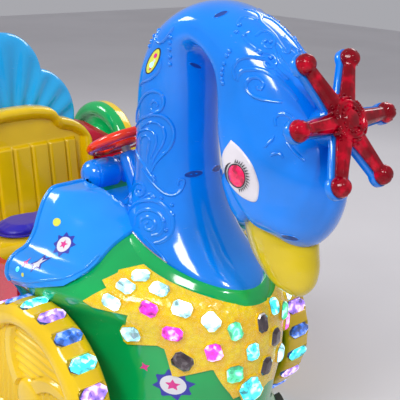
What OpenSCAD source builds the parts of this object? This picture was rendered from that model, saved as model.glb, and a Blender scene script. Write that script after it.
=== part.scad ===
/* [Running gear] */
// Radius of the four running tyres
tyre_r = 85; // [70:1:95]
// Width of a running tyre
tyre_w = 42; // [30:1:50]
// Distance of the front axle ahead of the middle of the car
front_axle_x = 150; // [120:1:180]
// Distance of the rear axle behind the middle of the car
rear_axle_x = 520; // [480:1:560]
// Half of the front track, to the middle of a tyre
front_track_half = 180; // [170:1:190]
// Half of the rear track, to the middle of a tyre
rear_track_half = 195; // [180:1:205]
// Half of the distance between the two kingpins
kingpin_half = 128; // [115:1:135]
// Length of a knuckle's steering arm
steer_arm = 60; // [50:1:70]
// Largest steering angle of a front wheel in degrees
steer_angle = 20; // [10:1:20]
/* [Chassis] */
// Half of the distance between the middles of the two chassis rails
rail_half = 95; // [80:1:110]
// Height and width of a square rail
rail_size = 30; // [20:1:35]
// Length of the battery along the car
battery_l = 170; // [120:1:190]
// Width of the battery across the car
battery_w = 230; // [150:1:260]
// Height of the battery
battery_h = 175; // [120:1:200]
/* [Front body] */
// Wall of the front body
body_wall = 8; // [5:0.5:12]
// Height of the skirt's lower edge above the ground
skirt_z = 70; // [60:1:85]
// Half width of the front body between the wheel covers
body_half = 276; // [262:1:280]
// Reach of the shoulder flange beyond the body's side
flange_reach = 62; // [40:1:70]
// Thickness of the cowl panel on the front body
cowl_t = 6; // [4:0.5:8]
// Thickness of the breast plates on the front body
plate_t = 5; // [3:0.5:7]
/* [Tub and seat] */
// Half width of the tub
tub_half = 300; // [290:1:305]
// Wall of the tub
tub_wall = 12; // [8:0.5:16]
// Height of the foot well's floor
floor_z = 197; // [190:1:205]
// Height of the step-in sill
sill_z = 490; // [470:1:500]
// Height of the side walls beside the seat
side_z = 650; // [620:1:665]
// Height of the seat base
seat_z = 442; // [420:1:450]
// Half width of the seat shell
seat_half = 246; // [236:1:250]
// Lean of the seat back in degrees
seat_lean = 8; // [4:0.5:10]
// Thickness of the seat cushion
cushion_h = 30; // [20:1:40]
// Half width of the seat cushion
cushion_half = 165; // [150:1:175]
/* [Wheel covers] */
// Radius of the four wheel covers
cover_r = 226; // [215:1:226]
// Height of the covers' middle above the ground
cover_z = 234; // [230:1:236]
// Place of the front covers' middle ahead of the car's middle
cover_front_x = 101; // [90:1:110]
// Place of the rear covers' middle behind the car's middle
cover_rear_x = 515; // [490:1:540]
// Radius of the rear wheel covers
cover_rear_r = 190; // [180:1:194]
// Gap between the front body's side and a front cover
cover_front_gap = 12; // [8:1:16]
// Gap between the tub's side and a rear cover
cover_rear_gap = 6; // [4:1:10]
// Width of a front cover's tread
cover_w = 92; // [80:1:95]
// Number of lamps round a front cover
cover_lamps_n = 21; // [18:1:22]
/* [Neck and head] */
// Half width of the neck at half its height
neck_half = 93; // [85:1:98]
// Place of the plane that parts the head from the neck
head_split_x = 330; // [310:1:350]
// Distance from the crown's middle to a ball
crown_arm = 133; // [120:1:136]
// Radius of a crown ball
crown_ball = 20; // [16:0.5:22]
// Tilt of the crown's face above level in degrees
crown_tilt = 26; // [20:1:32]
/* [Steering wheel] */
// Outer radius of the steering wheel
steer_r = 95; // [85:1:98]
// Radius of the steering wheel's rim tube
steer_rim = 12; // [9:0.5:13]
// Tilt of the steering wheel from level in degrees
steer_tilt = 30; // [26:1:34]
/* [Hidden] */
$fn = 64;
// Clearance between touching curved faces of fixed pieces
seat_gap = 0.3;
// Radial clearance of a running fit
fit_gap = 0.05;
body_rear_x = -30;
tub_front_x = body_rear_x - cowl_t;
tub_rear_x = -692.6;
rail_z = floor_z - tub_wall - rail_size / 2;
cover_front_in = body_half + cover_front_gap;
cover_rear_in = tub_half + cover_rear_gap;
side_mirror = [-1, 1];

// Smooth lofts: a row holds a section's numbers, and the rows between are read off a soft curve
function cubic(a, b, c, d, t) =
    ((2 * b) + (c - a) * t + (2 * a - 5 * b + 4 * c - d) * t * t + (3 * b - a - 3 * c + d) * t * t * t) / 2;
function soft_rows(rows, steps) = [
    for (i = [0 : len(rows) - 2], k = [0 : steps - 1])
        let (a = rows[max(i - 1, 0)], b = rows[i], c = rows[i + 1], d = rows[min(i + 2, len(rows) - 1)])
            [for (j = [0 : len(b) - 1]) cubic(a[j], b[j], c[j], d[j], k / steps)],
    rows[len(rows) - 1]
];
// Skin over a stack of rings that all have the same number of points
module skin(rings) {
    n = len(rings[0]);
    last = len(rings) - 1;
    points = [for (ring = rings, p = ring) p];
    sides = [
        for (i = [0 : last - 1], j = [0 : n - 1])
            let (a = i * n + j, b = i * n + (j + 1) % n)
                each [[a, b + n, b], [a, a + n, b + n]]
    ];
    caps = [[for (j = [0 : n - 1]) j], [for (j = [n - 1 : -1 : 0]) last * n + j]];
    polyhedron(points = points, faces = concat(sides, caps), convexity = 6);
}
// Oval section: [x, z] middle, lean of its normal from upright, half depth and half width
function oval_ring(row, grow, n) = [
    for (i = [0 : n - 1])
        let (a = 360 * i / n, d = (row[3] + grow) * cos(a), w = (row[4] + grow) * sin(a))
            [row[0] + d * cos(row[2]), w, row[1] - d * sin(row[2])]
];
// Rounded oblong for plan outlines
module oblong(x0, x1, half_w, r) {
    union() {
        translate([x0 + r, -half_w]) square([x1 - x0 - 2 * r, 2 * half_w]);
        translate([x0, -half_w + r]) square([x1 - x0, 2 * half_w - 2 * r]);
        for (x = [x0 + r, x1 - r], y = [-half_w + r, half_w - r]) translate([x, y]) circle(r);
    }
}
module across(half) {
    rotate([90, 0, 0]) linear_extrude(2 * half, center = true) children();
}

// Front body: level sections, each a half oval nose on a straight rear.
// Columns: height, half width, nose reach, squareness of the nose
body_rows = [
    [skirt_z, body_half - 26, 458, 3],
    [115, body_half - 12, 480, 3],
    [200, body_half - 5, 498, 3],
    [330, body_half, 508, 3],
    [430, body_half, 508, 3],
    [463, body_half, 503, 3],
    [465, body_half + flange_reach, 500, 2.2],
    [497, body_half + flange_reach - 7, 484, 2.1],
    [517, body_half + flange_reach - 18, 450, 2],
    [529, body_half + 21, 420, 2],
    [540, body_half - 11, 385, 2],
    [570, body_half - 33, 290, 2],
    [600, body_half - 44, 200, 2],
    [625, body_half - 54, 150, 2],
    [645, body_half - 65, 100, 2],
    [667, body_half - 86, 55, 2],
    [683, body_half - 116, 22, 2],
    [688, body_half - 156, 5, 2]
];
body_points = 28;
shoulder_z = 500;
function nose_point(row, a) = [row[2] * pow(max(cos(a), 0), 2 / row[3]), row[1] * sin(a), row[0]];
function body_ring(row, rear_x) = concat(
    [[rear_x, -row[1], row[0]]],
    [for (i = [0 : body_points]) nose_point(row, -90 + 180 * i / body_points)],
    [[rear_x, row[1], row[0]]]
);
function grown_row(row, grow) =
    [row[0] + (row[0] > shoulder_z ? grow : 0), row[1] + grow, row[2] + grow, row[3]];
module body_form(grow, rear_x) {
    skin([for (row = body_rows) body_ring(grown_row(row, grow), rear_x)]);
}
module body_hollow() {
    low = [skirt_z - 1, body_rows[0][1] - body_wall, body_rows[0][2] - body_wall, 3];
    rows = [for (row = body_rows)
        if (row[0] < 460 || row[0] > 535) [
            row[0] - (row[0] > 535 ? body_wall : 0),
            row[1] - body_wall,
            max(row[2] - body_wall, 1),
            row[3]
        ]
    ];
    skin([for (row = concat([low], rows)) body_ring(row, body_rear_x + body_wall)]);
}
// Steering column line, from the wheel's middle down to its foot
column_top = [-12, 762];
column_len = 560;
column_r = 11;
module column_place() {
    translate([column_top[0], 0, column_top[1]]) rotate([0, -steer_tilt, 0]) children();
}
module column_hole(r) {
    column_place() translate([0, 0, -column_len]) cylinder(h = column_len, r = r);
}

// Neck and head: one sweep that rises, arches over and hangs down. Each section is a smooth oval on its outer
// side and flatter on its inner side, where squareness above 2 gives the head's sides their straight rear edge.
// Columns: outer x, outer z, inner x, inner z, half width, inner share of the depth, inner squareness
swan_rows = [
    [65, 576, 459, 464, neck_half + 33, 0.5, 2],
    [37, 627, 439, 527, neck_half + 34, 0.5, 2],
    [61, 646, 358, 604, neck_half + 26, 0.5, 2],
    [79, 686, 311, 674, neck_half + 15, 0.5, 2],
    [89, 762, 285, 758, neck_half + 5, 0.5, 2],
    [91, 875, 277, 865, neck_half, 0.5, 2],
    [104, 970, 277, 950, neck_half - 2, 0.5, 2.2],
    [162, 1061, 281, 1008, neck_half - 4, 0.5, 2.8],
    [264, 1119, 300, 1034, neck_half - 5, 0.5, 4],
    [365, 1121, 338, 1026, neck_half - 5, 0.42, 6],
    [475, 1073, 371, 990, neck_half - 5, 0.36, 7],
    [548, 999, 383, 932, neck_half - 4, 0.3, 7],
    [598, 916, 388, 880, neck_half - 1, 0.28, 7],
    [644, 838, 403, 822, neck_half, 0.28, 7],
    [650, 777, 430, 758, neck_half - 5, 0.3, 7],
    [633, 721, 480, 708, neck_half - 11, 0.36, 6],
    [606, 680, 505, 684, neck_half - 42, 0.5, 2.5],
    [575, 660, 531, 663, neck_half - 72, 0.5, 2]
];
neck_points = 28;
function swan_ring(row, grow, n) = let (
    depth = norm([row[2] - row[0], row[3] - row[1]]),
    along = [(row[2] - row[0]) / depth, (row[3] - row[1]) / depth],
    inner = depth * row[5],
    middle = [row[0], row[1]] + along * (depth - inner)
) [
    for (i = [0 : n - 1])
        let (a = 360 * i / n, c = cos(a), e = c > 0 ? 2 / row[6] : 1)
            let (d = sign(c) * pow(abs(c), e) * ((c > 0 ? inner : depth - inner) + grow))
                let (w = sign(sin(a)) * pow(abs(sin(a)), e) * (row[4] + grow))
                    [middle[0] + along[0] * d, w, middle[1] + along[1] * d]
];
module swan_form(grow) {
    skin([for (row = soft_rows(swan_rows, 2)) swan_ring(row, grow, neck_points)]);
}
// Beak: level sections from the hood down to the rounded tip
// Columns: middle x, middle z, lean, half depth, half width
beak_rows = [
    [538, 720, 0, 70, 52],
    [535, 680, 0, 80, 58],
    [532, 640, 0, 84, 60],
    [536, 600, 0, 76, 57],
    [540, 570, 0, 58, 47],
    [543, 553, 0, 34, 30],
    [545, 548, 0, 14, 13]
];
module beak_form() {
    skin([for (row = soft_rows([for (i = [len(beak_rows) - 1 : -1 : 0]) beak_rows[i]], 2)) oval_ring(row, 0, 28)]);
}

// Ends of the chassis rails and places of the cross members
rail_rear_x = tub_rear_x + 40;
rail_front_x = 330;
tow_x = -632;
cross_x = [tow_x, -330, -60, 290];
tow_hole_r = 8;
column_foot = 540;
module chassis() {
    color("dimgray") difference() {
        union() {
            for (s = side_mirror)
                translate([(rail_rear_x + rail_front_x) / 2, s * rail_half, rail_z])
                    cube([rail_front_x - rail_rear_x, rail_size, rail_size], center = true);
            for (x = cross_x) translate([x, 0, rail_z]) cube([rail_size, 2 * rail_half, rail_size], center = true);
            translate([cross_x[3] - 40, -15, rail_z]) cube([40, 30, 140]);
            column_place() translate([0, 0, -column_foot]) cylinder(h = 34, r = column_r + 8);
        }
        column_place() translate([0, 0, -column_foot - 60]) cylinder(h = 200, r = column_r + fit_gap);
        translate([tow_x, 0, rail_z - rail_size]) cylinder(h = 2 * rail_size, r = tow_hole_r);
    }
}
module battery() {
    color("black")
        translate([-370, 0, floor_z + battery_h / 2]) cube([battery_l, battery_w, battery_h], center = true);
}
// Motor that hangs under the rear of the chassis and turns the rear axle
motor_r = 42;
module drive_motor() {
    color("silver") union() {
        translate([-rear_axle_x + 95, -70, tyre_r + 14]) rotate([-90, 0, 0]) cylinder(h = 140, r = motor_r);
        translate([-rear_axle_x + 65, -rail_half - rail_size / 2, rail_z - rail_size / 2 - 8])
            cube([60, 2 * rail_half + rail_size, 8]);
        for (y = [-50, 30])
            translate([-rear_axle_x + 70, y, tyre_r + 14]) cube([50, 20, rail_z - rail_size / 2 - tyre_r - 18]);
    }
}
axle_r = 9;
wheel_bore = 9.05;
hub_r = 52;
module rear_axle() {
    color("silver") union() {
        translate([-rear_axle_x, 0, tyre_r]) rotate([90, 0, 0])
            cylinder(h = 2 * rear_track_half + tyre_w + 8, r = axle_r, center = true);
        for (s = side_mirror)
            difference() {
                translate([-rear_axle_x, s * rail_half, (tyre_r + rail_z) / 2 - 4])
                    cube([36, 24, rail_z - tyre_r - rail_size / 2 + 8 + 22], center = true);
                translate([-rear_axle_x, s * rail_half, rail_z]) cube([60, 60, rail_size], center = true);
            }
    }
}
beam_z = 120;
module front_axle() {
    color("dimgray") difference() {
        union() {
            translate([front_axle_x, 0, beam_z]) cube([34, 2 * kingpin_half - 44, 26], center = true);
            for (s = side_mirror) {
                translate([front_axle_x, s * rail_half, (beam_z + rail_z) / 2])
                    cube([34, 26, rail_z - beam_z - rail_size + 13], center = true);
                for (z = [beam_z - 13, beam_z + 5])
                    translate([front_axle_x, s * kingpin_half, z]) cylinder(h = 8, r = 17);
                for (z = [beam_z - 13, beam_z + 5])
                    translate([front_axle_x - 17, min(s * kingpin_half, s * (kingpin_half - 30)), z])
                        cube([34, 30, 8]);
            }
        }
        for (s = side_mirror)
            translate([front_axle_x, s * kingpin_half, beam_z - 40]) cylinder(h = 80, r = 7);
        for (s = side_mirror)
            translate([front_axle_x, s * rail_half, rail_z]) cube([80, 60, rail_size], center = true);
        for (s = side_mirror)
            translate([front_axle_x, s * (kingpin_half + 2), beam_z]) cube([60, 44, 10.6], center = true);
    }
}
module knuckle(s) {
    color("silver") union() {
        translate([front_axle_x, s * kingpin_half, beam_z - 22]) cylinder(h = 44, r = 7 - fit_gap);
        translate([front_axle_x, s * kingpin_half, beam_z - 5]) cylinder(h = 10, r = 16);
        translate([front_axle_x, s * kingpin_half, beam_z - 22]) cylinder(h = 6, r = 12);
        translate([front_axle_x, s * kingpin_half, beam_z + 16]) cylinder(h = 6, r = 12);
        translate([front_axle_x, s * (kingpin_half + 14), beam_z]) cube([22, 16, 10], center = true);
        translate([front_axle_x, s * (kingpin_half + 22), (beam_z + tyre_r) / 2])
            cube([24, 8, beam_z - tyre_r + 30], center = true);
        translate([front_axle_x, s * (kingpin_half + 20), tyre_r]) rotate([-s * 90, 0, 0])
            cylinder(h = front_track_half - kingpin_half - 20 + tyre_w / 2 + 4, r = axle_r);
        translate([front_axle_x - steer_arm / 2 - 5, s * (kingpin_half + 5), beam_z])
            cube([steer_arm - 10, 12, 8], center = true);
        translate([front_axle_x - steer_arm, s * kingpin_half, beam_z - 4]) cylinder(h = 8, r = 11);
        translate([front_axle_x - steer_arm, s * kingpin_half, beam_z - 18]) cylinder(h = 15, r = 5);
        translate([front_axle_x - steer_arm, s * kingpin_half, beam_z - 19]) cylinder(h = 2.7, r = 10);
        translate([front_axle_x - steer_arm, s * kingpin_half, beam_z - 7.7]) cylinder(h = 4, r = 10);
    }
}
// Room between a rod eye and its pin at the ends of the steering range
tie_slack = 0.3;
module tie_rod() {
    drift = steer_arm * (1 - cos(steer_angle)) / 2;
    color("silver") translate([front_axle_x - steer_arm + drift, 0, beam_z - 12]) difference() {
        union() {
            rotate([90, 0, 0]) cylinder(h = 2 * kingpin_half - 24, r = 5, center = true);
            for (s = side_mirror) translate([0, s * kingpin_half, -4]) cylinder(h = 8, r = 14);
        }
        for (s = side_mirror) translate([0, s * kingpin_half, -5]) cylinder(h = 10, r = 5 + tie_slack + drift);
    }
}
module wheel_place(x, y) {
    translate([x, y, tyre_r]) rotate([90, 0, 0]) children();
}
module hub(x, y) {
    color("gold") wheel_place(x, y) difference() {
        rotate_extrude() polygon([
            [wheel_bore, -tyre_w / 2], [22, -tyre_w / 2], [24, -8], [hub_r - 8, -6], [hub_r - 6, -tyre_w / 2 + 4],
            [hub_r, -tyre_w / 2 + 4], [hub_r, tyre_w / 2 - 4], [hub_r - 6, tyre_w / 2 - 4],
            [hub_r - 8, 6], [24, 8], [22, tyre_w / 2], [wheel_bore, tyre_w / 2]
        ]);
        for (a = [0 : 72 : 359]) rotate([0, 0, a]) translate([34, 0, -20]) cylinder(h = 40, r = 6);
    }
}
module tyre(x, y) {
    color("black") wheel_place(x, y) rotate_extrude() union() {
        translate([hub_r + 0.05, -tyre_w / 2 + 4]) square([tyre_r - hub_r - 8, tyre_w - 8]);
        translate([hub_r + 10, -tyre_w / 2]) square([tyre_r - hub_r - 18, tyre_w]);
        translate([tyre_r - 9, -tyre_w / 2 + 9]) square([9, tyre_w - 18]);
        for (z = [-tyre_w / 2 + 9, tyre_w / 2 - 9]) translate([tyre_r - 9, z]) circle(9);
    }
}

// Tub: side view of the wall's top edge, from the rear to the cowl
tub_top = [
    [tub_rear_x - 10, 560], [-670, 612], [-640, side_z + 12], [-600, side_z + 10], [-440, side_z - 12],
    [-400, side_z - 30], [-360, 590], [-320, 530], [-290, sill_z + 12], [-260, sill_z + 2], [-220, sill_z],
    [-90, sill_z], [tub_front_x, sill_z + 8]
];
deck_z = 600;
deck_front_x = -507;
tub_corner_r = 110;
module tub_plan(inset) {
    intersection() {
        oblong(tub_rear_x + inset, tub_front_x + 2 * tub_corner_r, tub_half - inset, tub_corner_r - inset);
        translate([tub_rear_x - rim_out, -tub_half - rim_out])
            square([tub_front_x - tub_rear_x + rim_out, 2 * (tub_half + rim_out)]);
    }
}
// Luggage deck behind the seat, with the wall that carries its front edge
module tub_deck() {
    translate([0, 0, deck_z - tub_wall]) linear_extrude(tub_wall) intersection() {
        tub_plan(tub_wall / 2);
        translate([-800, -400]) square([800 + deck_front_x, 800]);
    }
    translate([deck_front_x - tub_wall, tub_wall / 2 - tub_half, floor_z - 1])
        cube([tub_wall, 2 * tub_half - tub_wall, deck_z - floor_z]);
}
// Rolled lip that stands out along the wall's top edge
rim_out = 8;
rim_drop = 16;
module tub_rim() {
    intersection() {
        translate([0, 0, skirt_z]) linear_extrude(side_z) difference() {
            tub_plan(-rim_out);
            tub_plan(tub_wall);
        }
        across(400) polygon(concat(
            tub_top,
            [for (i = [len(tub_top) - 1 : -1 : 0]) [tub_top[i][0], tub_top[i][1] - rim_drop]]
        ));
    }
}
module tub() {
    color("crimson") intersection() {
        union() {
            difference() {
                translate([0, 0, skirt_z]) linear_extrude(side_z) tub_plan(0);
                translate([0, 0, floor_z]) linear_extrude(side_z) tub_plan(tub_wall);
                translate([0, 0, skirt_z - 1]) linear_extrude(floor_z - tub_wall - skirt_z + 1) tub_plan(tub_wall);
            }
            tub_deck();
            tub_rim();
        }
        across(400) polygon(concat(tub_top, [[tub_front_x, 0], [tub_rear_x - 10, 0]]));
    }
}
module front_body() {
    color("mediumseagreen") difference() {
        union() {
            body_form(0, body_rear_x);
            intersection() {
                collar_form();
                translate([collar_cut_x, -200, 400]) cube([400, 400, 300]);
            }
        }
        body_hollow();
        column_hole(column_r + 5);
        swan_form(0);
        translate([body_rear_x - 1, -rail_half - rail_size, 0])
            cube([body_wall + 2, 2 * (rail_half + rail_size), rail_z + rail_size / 2]);
    }
}
// Tilted oval ring round the foot of the neck
collar_at = [238, 574];
collar_lean = 16;
// Where the ring meets the cowl
collar_cut_x = 176;
// Columns: height along the ring's axis, reach beyond the neck
collar_rows = [[-60, 4], [-9, 12], [0, 15], [9, 12], [12, 6]];
module collar_form() {
    skin([for (row = collar_rows) oval_ring(
        [collar_at[0] + row[0] * sin(collar_lean), collar_at[1] + row[0] * cos(collar_lean), collar_lean, 207, 127],
        row[1], 40)]);
}
// Breast plates: side view of the feathered outline
plate_outline = [
    [520, 262], [520, 560], [440, 540], [330, 562], [263, 566], [229, 553], [232, 548], [221, 537], [247, 530],
    [218, 502], [243, 493], [320, 493], [303, 427], [313, 421], [377, 434], [390, 428], [404, 367], [415, 367],
    [463, 386], [467, 386], [486, 328], [492, 302], [503, 312], [508, 272]
];
module breast_plates() {
    color("gold") difference() {
        intersection() {
            body_form(plate_t, body_rear_x);
            across(400) polygon(plate_outline);
        }
        body_form(0, body_rear_x);
        collar_form();
        swan_form(0);
    }
}
// A faceted lamp lens on the z axis: a long eight-sided outline with a bevelled crown
module lens(l, w, h) {
    outline = [
        for (q = [[1, 1], [-1, 1], [-1, -1], [1, -1]])
            let (tip = [q[0] * l / 2, q[1] * w * 0.22], side = [q[0] * l * 0.3, q[1] * w / 2])
                each q[0] * q[1] > 0 ? [tip, side] : [side, tip]
    ];
    points = concat(
        [for (p = outline) [p[0], p[1], -lens_root]],
        [for (p = outline) [p[0], p[1], h * 0.45]],
        [for (p = outline) [p[0] * 0.6, p[1] * 0.5, h]]
    );
    faces = concat(
        [[for (j = [0 : 7]) j], [for (j = [7 : -1 : 0]) 16 + j]],
        [for (r = [0, 8], j = [0 : 7]) let (k = (j + 1) % 8) [r + j, r + 8 + j, r + 8 + k, r + k]]
    );
    polyhedron(points = points, faces = faces);
}
function row_at(z) = let (
    i = max([for (k = [0 : len(body_rows) - 2]) body_rows[k][0] <= z ? k : 0]),
    t = (z - body_rows[i][0]) / (body_rows[i + 1][0] - body_rows[i][0])
) [for (j = [0 : 3]) body_rows[i][j] * (1 - t) + body_rows[i + 1][j] * t];
lens_root = 4;
// Columns: height, bearing from straight ahead, length, width, turn on the surface
breast_rows = [
    [548, 43, 46, 36, 62], [534, 49, 50, 34, 62], [535, 38, 50, 36, 62], [512, 54, 50, 32, 66], [514, 32, 48, 36, 62],
    [509, 43, 46, 34, 62], [474, 36, 52, 38, 60], [452, 56, 50, 40, 84], [490, 25, 46, 38, 20], [429, 29, 46, 42, 12],
    [404, 40, 54, 46, 60], [471, 15, 46, 36, 8], [418, 13, 50, 36, 10], [372, 21, 44, 40, 8], [322, 13, 74, 60, 30],
    [375, 6, 48, 34, 0], [497, 0, 40, 34, 0], [440, 0, 46, 30, 0]
];
// Lamp set flat on the plates: its own z axis is the surface's outward direction
module breast_lamp(row, s) {
    at = row_at(row[0]);
    above = row_at(row[0] + 6);
    grown = [at[0], at[1] + plate_t, at[2] + plate_t, at[3]];
    p = nose_point(grown, s * row[1]);
    q = nose_point(grown, s * row[1] + 1);
    r = nose_point([above[0], above[1] + plate_t, above[2] + plate_t, above[3]], s * row[1]);
    out = cross(q - p, r - p);
    translate(p) rotate([0, atan2(norm([out[0], out[1]]), out[2]), atan2(out[1], out[0])])
        rotate([0, 0, -s * row[4]]) lens(row[2], row[3], 11);
}
module breast_lamps() {
    color("aquamarine") difference() {
        for (row = breast_rows, s = row[1] > 0 ? side_mirror : [1]) breast_lamp(row, s);
        body_form(plate_t, body_rear_x);
    }
}
cowl_outline = [
    [body_rear_x - cowl_t, 455], [-7, 466], [50, 480], [103, 498], [150, 513], [168, 530], [176, 556], [172, 600],
    [160, 640], [120, 720], [body_rear_x - cowl_t, 720]
];
module cowl_panel() {
    difference() {
        intersection() {
            body_form(cowl_t, body_rear_x);
            across(400) polygon(cowl_outline);
        }
        body_form(0, body_rear_x - 1);
    }
    intersection() {
        body_form(cowl_t, tub_front_x);
        translate([tub_front_x, -400, floor_z]) cube([cowl_t, 800, 600]);
    }
}
module cowl() {
    color("dodgerblue") difference() {
        cowl_panel();
        swan_form(0);
        column_hole(column_r + 5);
    }
}
roll_at = [-50, 676];
roll_r = 38;
roll_half = 92;
module dash_roll() {
    color("royalblue") difference() {
        translate([roll_at[0], 0, roll_at[1]]) rotate([90, 0, 0]) union() {
            cylinder(h = 2 * roll_half - 2 * roll_r, r = roll_r, center = true);
            for (s = side_mirror) translate([0, 0, s * (roll_half - roll_r)]) sphere(roll_r);
        }
        body_form(cowl_t, tub_front_x);
        column_hole(column_r + fit_gap);
    }
}
module steering_column() {
    color("silver") column_place() translate([0, 0, -column_len + 10]) cylinder(h = column_len - 26, r = column_r);
}
module steering_wheel() {
    color("orangered") column_place() union() {
        rotate_extrude() translate([steer_r - steer_rim, 0]) circle(steer_rim);
        translate([0, 0, -16]) cylinder(h = 26, r = 30);
        for (a = [105, 180, 255]) rotate([0, 0, a]) translate([20, -13, -10]) cube([steer_r - steer_rim - 22, 26, 14]);
    }
}
head_low_z = 655;
module head_room() {
    translate([head_split_x, -200, head_low_z]) cube([500, 400, 600]);
}
module neck() {
    color("dodgerblue") difference() {
        swan_form(0);
        head_room();
        body_form(0, body_rear_x);
    }
}
module head() {
    color("deepskyblue") intersection() {
        swan_form(0);
        head_room();
    }
}
module beak() {
    color("gold") difference() {
        beak_form();
        swan_form(0);
    }
}
crown_at = [640, 933];
module crown_place() {
    translate([crown_at[0], 0, crown_at[1]]) rotate([0, 90 - crown_tilt, 0]) children();
}
module star(arm_r, ball_r) {
    circle(38);
    for (a = [0 : 60 : 359]) rotate(a + 90) {
        translate([0, -arm_r]) square([crown_arm, 2 * arm_r]);
        translate([crown_arm, 0]) circle(ball_r);
    }
}
module crown_base() {
    color("royalblue") difference() {
        crown_place() union() {
            translate([0, 0, -crown_back - 10]) linear_extrude(10) star(15, crown_ball + 3);
            translate([0, 0, -120]) cylinder(h = 100, r = 40);
        }
        swan_form(0);
    }
}
crown_hub = 42;
crown_back = 20;
module crown() {
    color("firebrick") crown_place() union() {
        translate([0, 0, -crown_back]) cylinder(h = 2 * crown_back, r = crown_hub, $fn = 48);
        translate([0, 0, crown_back]) cylinder(h = 6, r1 = crown_hub, r2 = crown_hub - 10, $fn = 48);
        for (a = [0 : 60 : 359]) rotate([0, 0, a + 90]) {
            translate([crown_hub - 4, 0, 0]) rotate([0, 90, 0])
                cylinder(h = crown_arm - crown_hub + 4, r1 = 18, r2 = 13, $fn = 32);
            translate([crown_arm, 0, 0]) sphere(crown_ball, $fn = 32);
        }
    }
}
// Almond of the eye seen from the side
eye_outline = [
    [440, 868], [467, 856], [495, 834], [511, 807], [515, 787], [508, 760], [481, 758], [456, 767], [432, 785],
    [418, 810], [420, 838]
];
module eyes() {
    color("white") difference() {
        intersection() {
            swan_form(3);
            across(200) polygon(eye_outline);
        }
        swan_form(0);
    }
}
// Seat back's right half seen from the front, from the arch down to the base
seat_edge = [
    [0, 763], [40, 762], [80, 757], [105, 751], [118, 742], [126, 729], [138, 720], [158, 715], [178, 708], [198, 697],
    [216, 682], [230, 664], [240, 641], [seat_half, 612], [seat_half, 400]
];
module seat_back_outline() {
    polygon(concat(seat_edge, [for (i = [len(seat_edge) - 1 : -1 : 1]) [-seat_edge[i][0], seat_edge[i][1]]]));
}
seat_back_x = -478;
seat_front_x = -250;
// Round of the base's front edge, and how far its bead stands out
seat_round = 45;
seat_bead = 0.6;
// The base is a little narrower than the back
seat_base_half = seat_half - 1.5;
rib_pitch = 60;
// Rolled border of the back: an upright tube at each side with a round top
border_r = 21;
border_y = 227;
border_top = 630;
module seat_border(s) {
    translate([24, s * border_y, seat_z - 20]) {
        cylinder(h = border_top - seat_z + 20, r = border_r);
        translate([0, 0, border_top - seat_z + 19.5]) cylinder(h = 14, r1 = border_r - 0.5, r2 = border_r - 14);
    }
}
module seat_back() {
    translate([seat_back_x, 0, seat_z]) rotate([0, -seat_lean, 0]) translate([0, 0, -seat_z]) {
        rotate([90, 0, 90]) linear_extrude(22) seat_back_outline();
        translate([20, -186, seat_z - 10]) cube([10, 372, 214]);
        for (i = [-2.5 : 1 : 2.5])
            translate([24, i * rib_pitch - rib_pitch / 2 + 4, seat_z - 10]) cube([15, rib_pitch - 8, 210]);
        for (s = side_mirror) seat_border(s);
    }
}
module seat() {
    color("gold") difference() {
        union() {
            seat_back();
            translate([-480, -seat_base_half, floor_z]) cube([230 - seat_round, 2 * seat_base_half, seat_z - floor_z]);
            translate([-480, -seat_base_half, floor_z]) cube([230, 2 * seat_base_half, seat_z - floor_z - seat_round]);
            translate([seat_front_x - seat_round, 0, seat_z - seat_round]) rotate([90, 0, 0])
                cylinder(h = 2 * seat_base_half, r = seat_round + seat_bead, center = true);
        }
        translate([-468, -seat_half + 12, floor_z - 1]) cube([206, 2 * seat_half - 24, seat_z - floor_z - 20]);
        translate([-700, -300, 0]) cube([800, 600, floor_z]);
        translate([-600, -300, 0]) cube([600 + deck_front_x, 600, deck_z]);
    }
}
cushion_at = [-362, 0];
module seat_cushion() {
    color("mediumblue") translate([cushion_at[0], 0, seat_z + seat_bead + 0.3]) linear_extrude(cushion_h) union() {
        square([140, 2 * cushion_half - 140], center = true);
        for (s = side_mirror) translate([0, s * (cushion_half - 70)]) circle(70);
    }
}
fan_x = -560;
fan_t = 34;
fan_lean = 5;
module fan_outline(inset) {
    translate([0, 838]) circle(125 - inset);
    for (s = side_mirror) {
        translate([s * 92, 712]) circle(143 - inset);
        translate([-200, deck_z]) square([400, 120]);
        translate([s * 110, 660]) circle(125 - inset);
    }
}
// Feather ribs that spread from the fan's foot
module fan_ribs() {
    intersection() {
        rotate([90, 0, 90]) linear_extrude(fan_t + 5) fan_outline(16);
        for (a = [-60 : 12 : 60]) translate([fan_t - 4, 0, 560]) rotate([-a, 0, 0])
            translate([0, -5, 95]) cube([8, 10, 360]);
    }
}
module tail_fan() {
    color("deepskyblue") difference() {
        translate([fan_x, 0, deck_z]) rotate([0, -fan_lean, 0]) translate([0, 0, -deck_z]) union() {
            rotate([90, 0, 90]) linear_extrude(fan_t) fan_outline(0);
            fan_ribs();
        }
        translate([-900, -400, deck_z - 400]) cube([800, 800, 400]);
    }
}
// Wheel cover: tread, rounded shoulder, recessed face and hub, seen as a half section
face_in = cover_w - 26;
module cover_section(r) {
    polygon([
        [0, 0], [r - 14, 0], [r - 4, 6], [r, 16], [r + 2, cover_w / 2], [r - 1, cover_w - 24], [r - 7, cover_w - 11],
        [r - 17, cover_w - 3], [r - 30, cover_w], [r - 46, cover_w - 3], [r - 54, face_in], [84, face_in],
        [80, cover_w - 6], [74, cover_w], [60, cover_w], [56, cover_w - 10], [30, cover_w - 6], [0, cover_w - 4]
    ]);
}
module cover_place(x, s, inner, z) {
    translate([x, s * inner, z]) rotate([-s * 90, 0, 0]) children();
}
// Hollow behind a cover's face, with the boss that carries it
cover_wall = 8;
cover_boss_r = 50;
module cover_shell(r) {
    difference() {
        rotate_extrude($fn = 96) cover_section(r);
        translate([0, 0, -1]) cylinder(h = face_in - cover_wall + 1, r = r - 14 - cover_wall);
    }
}
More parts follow.
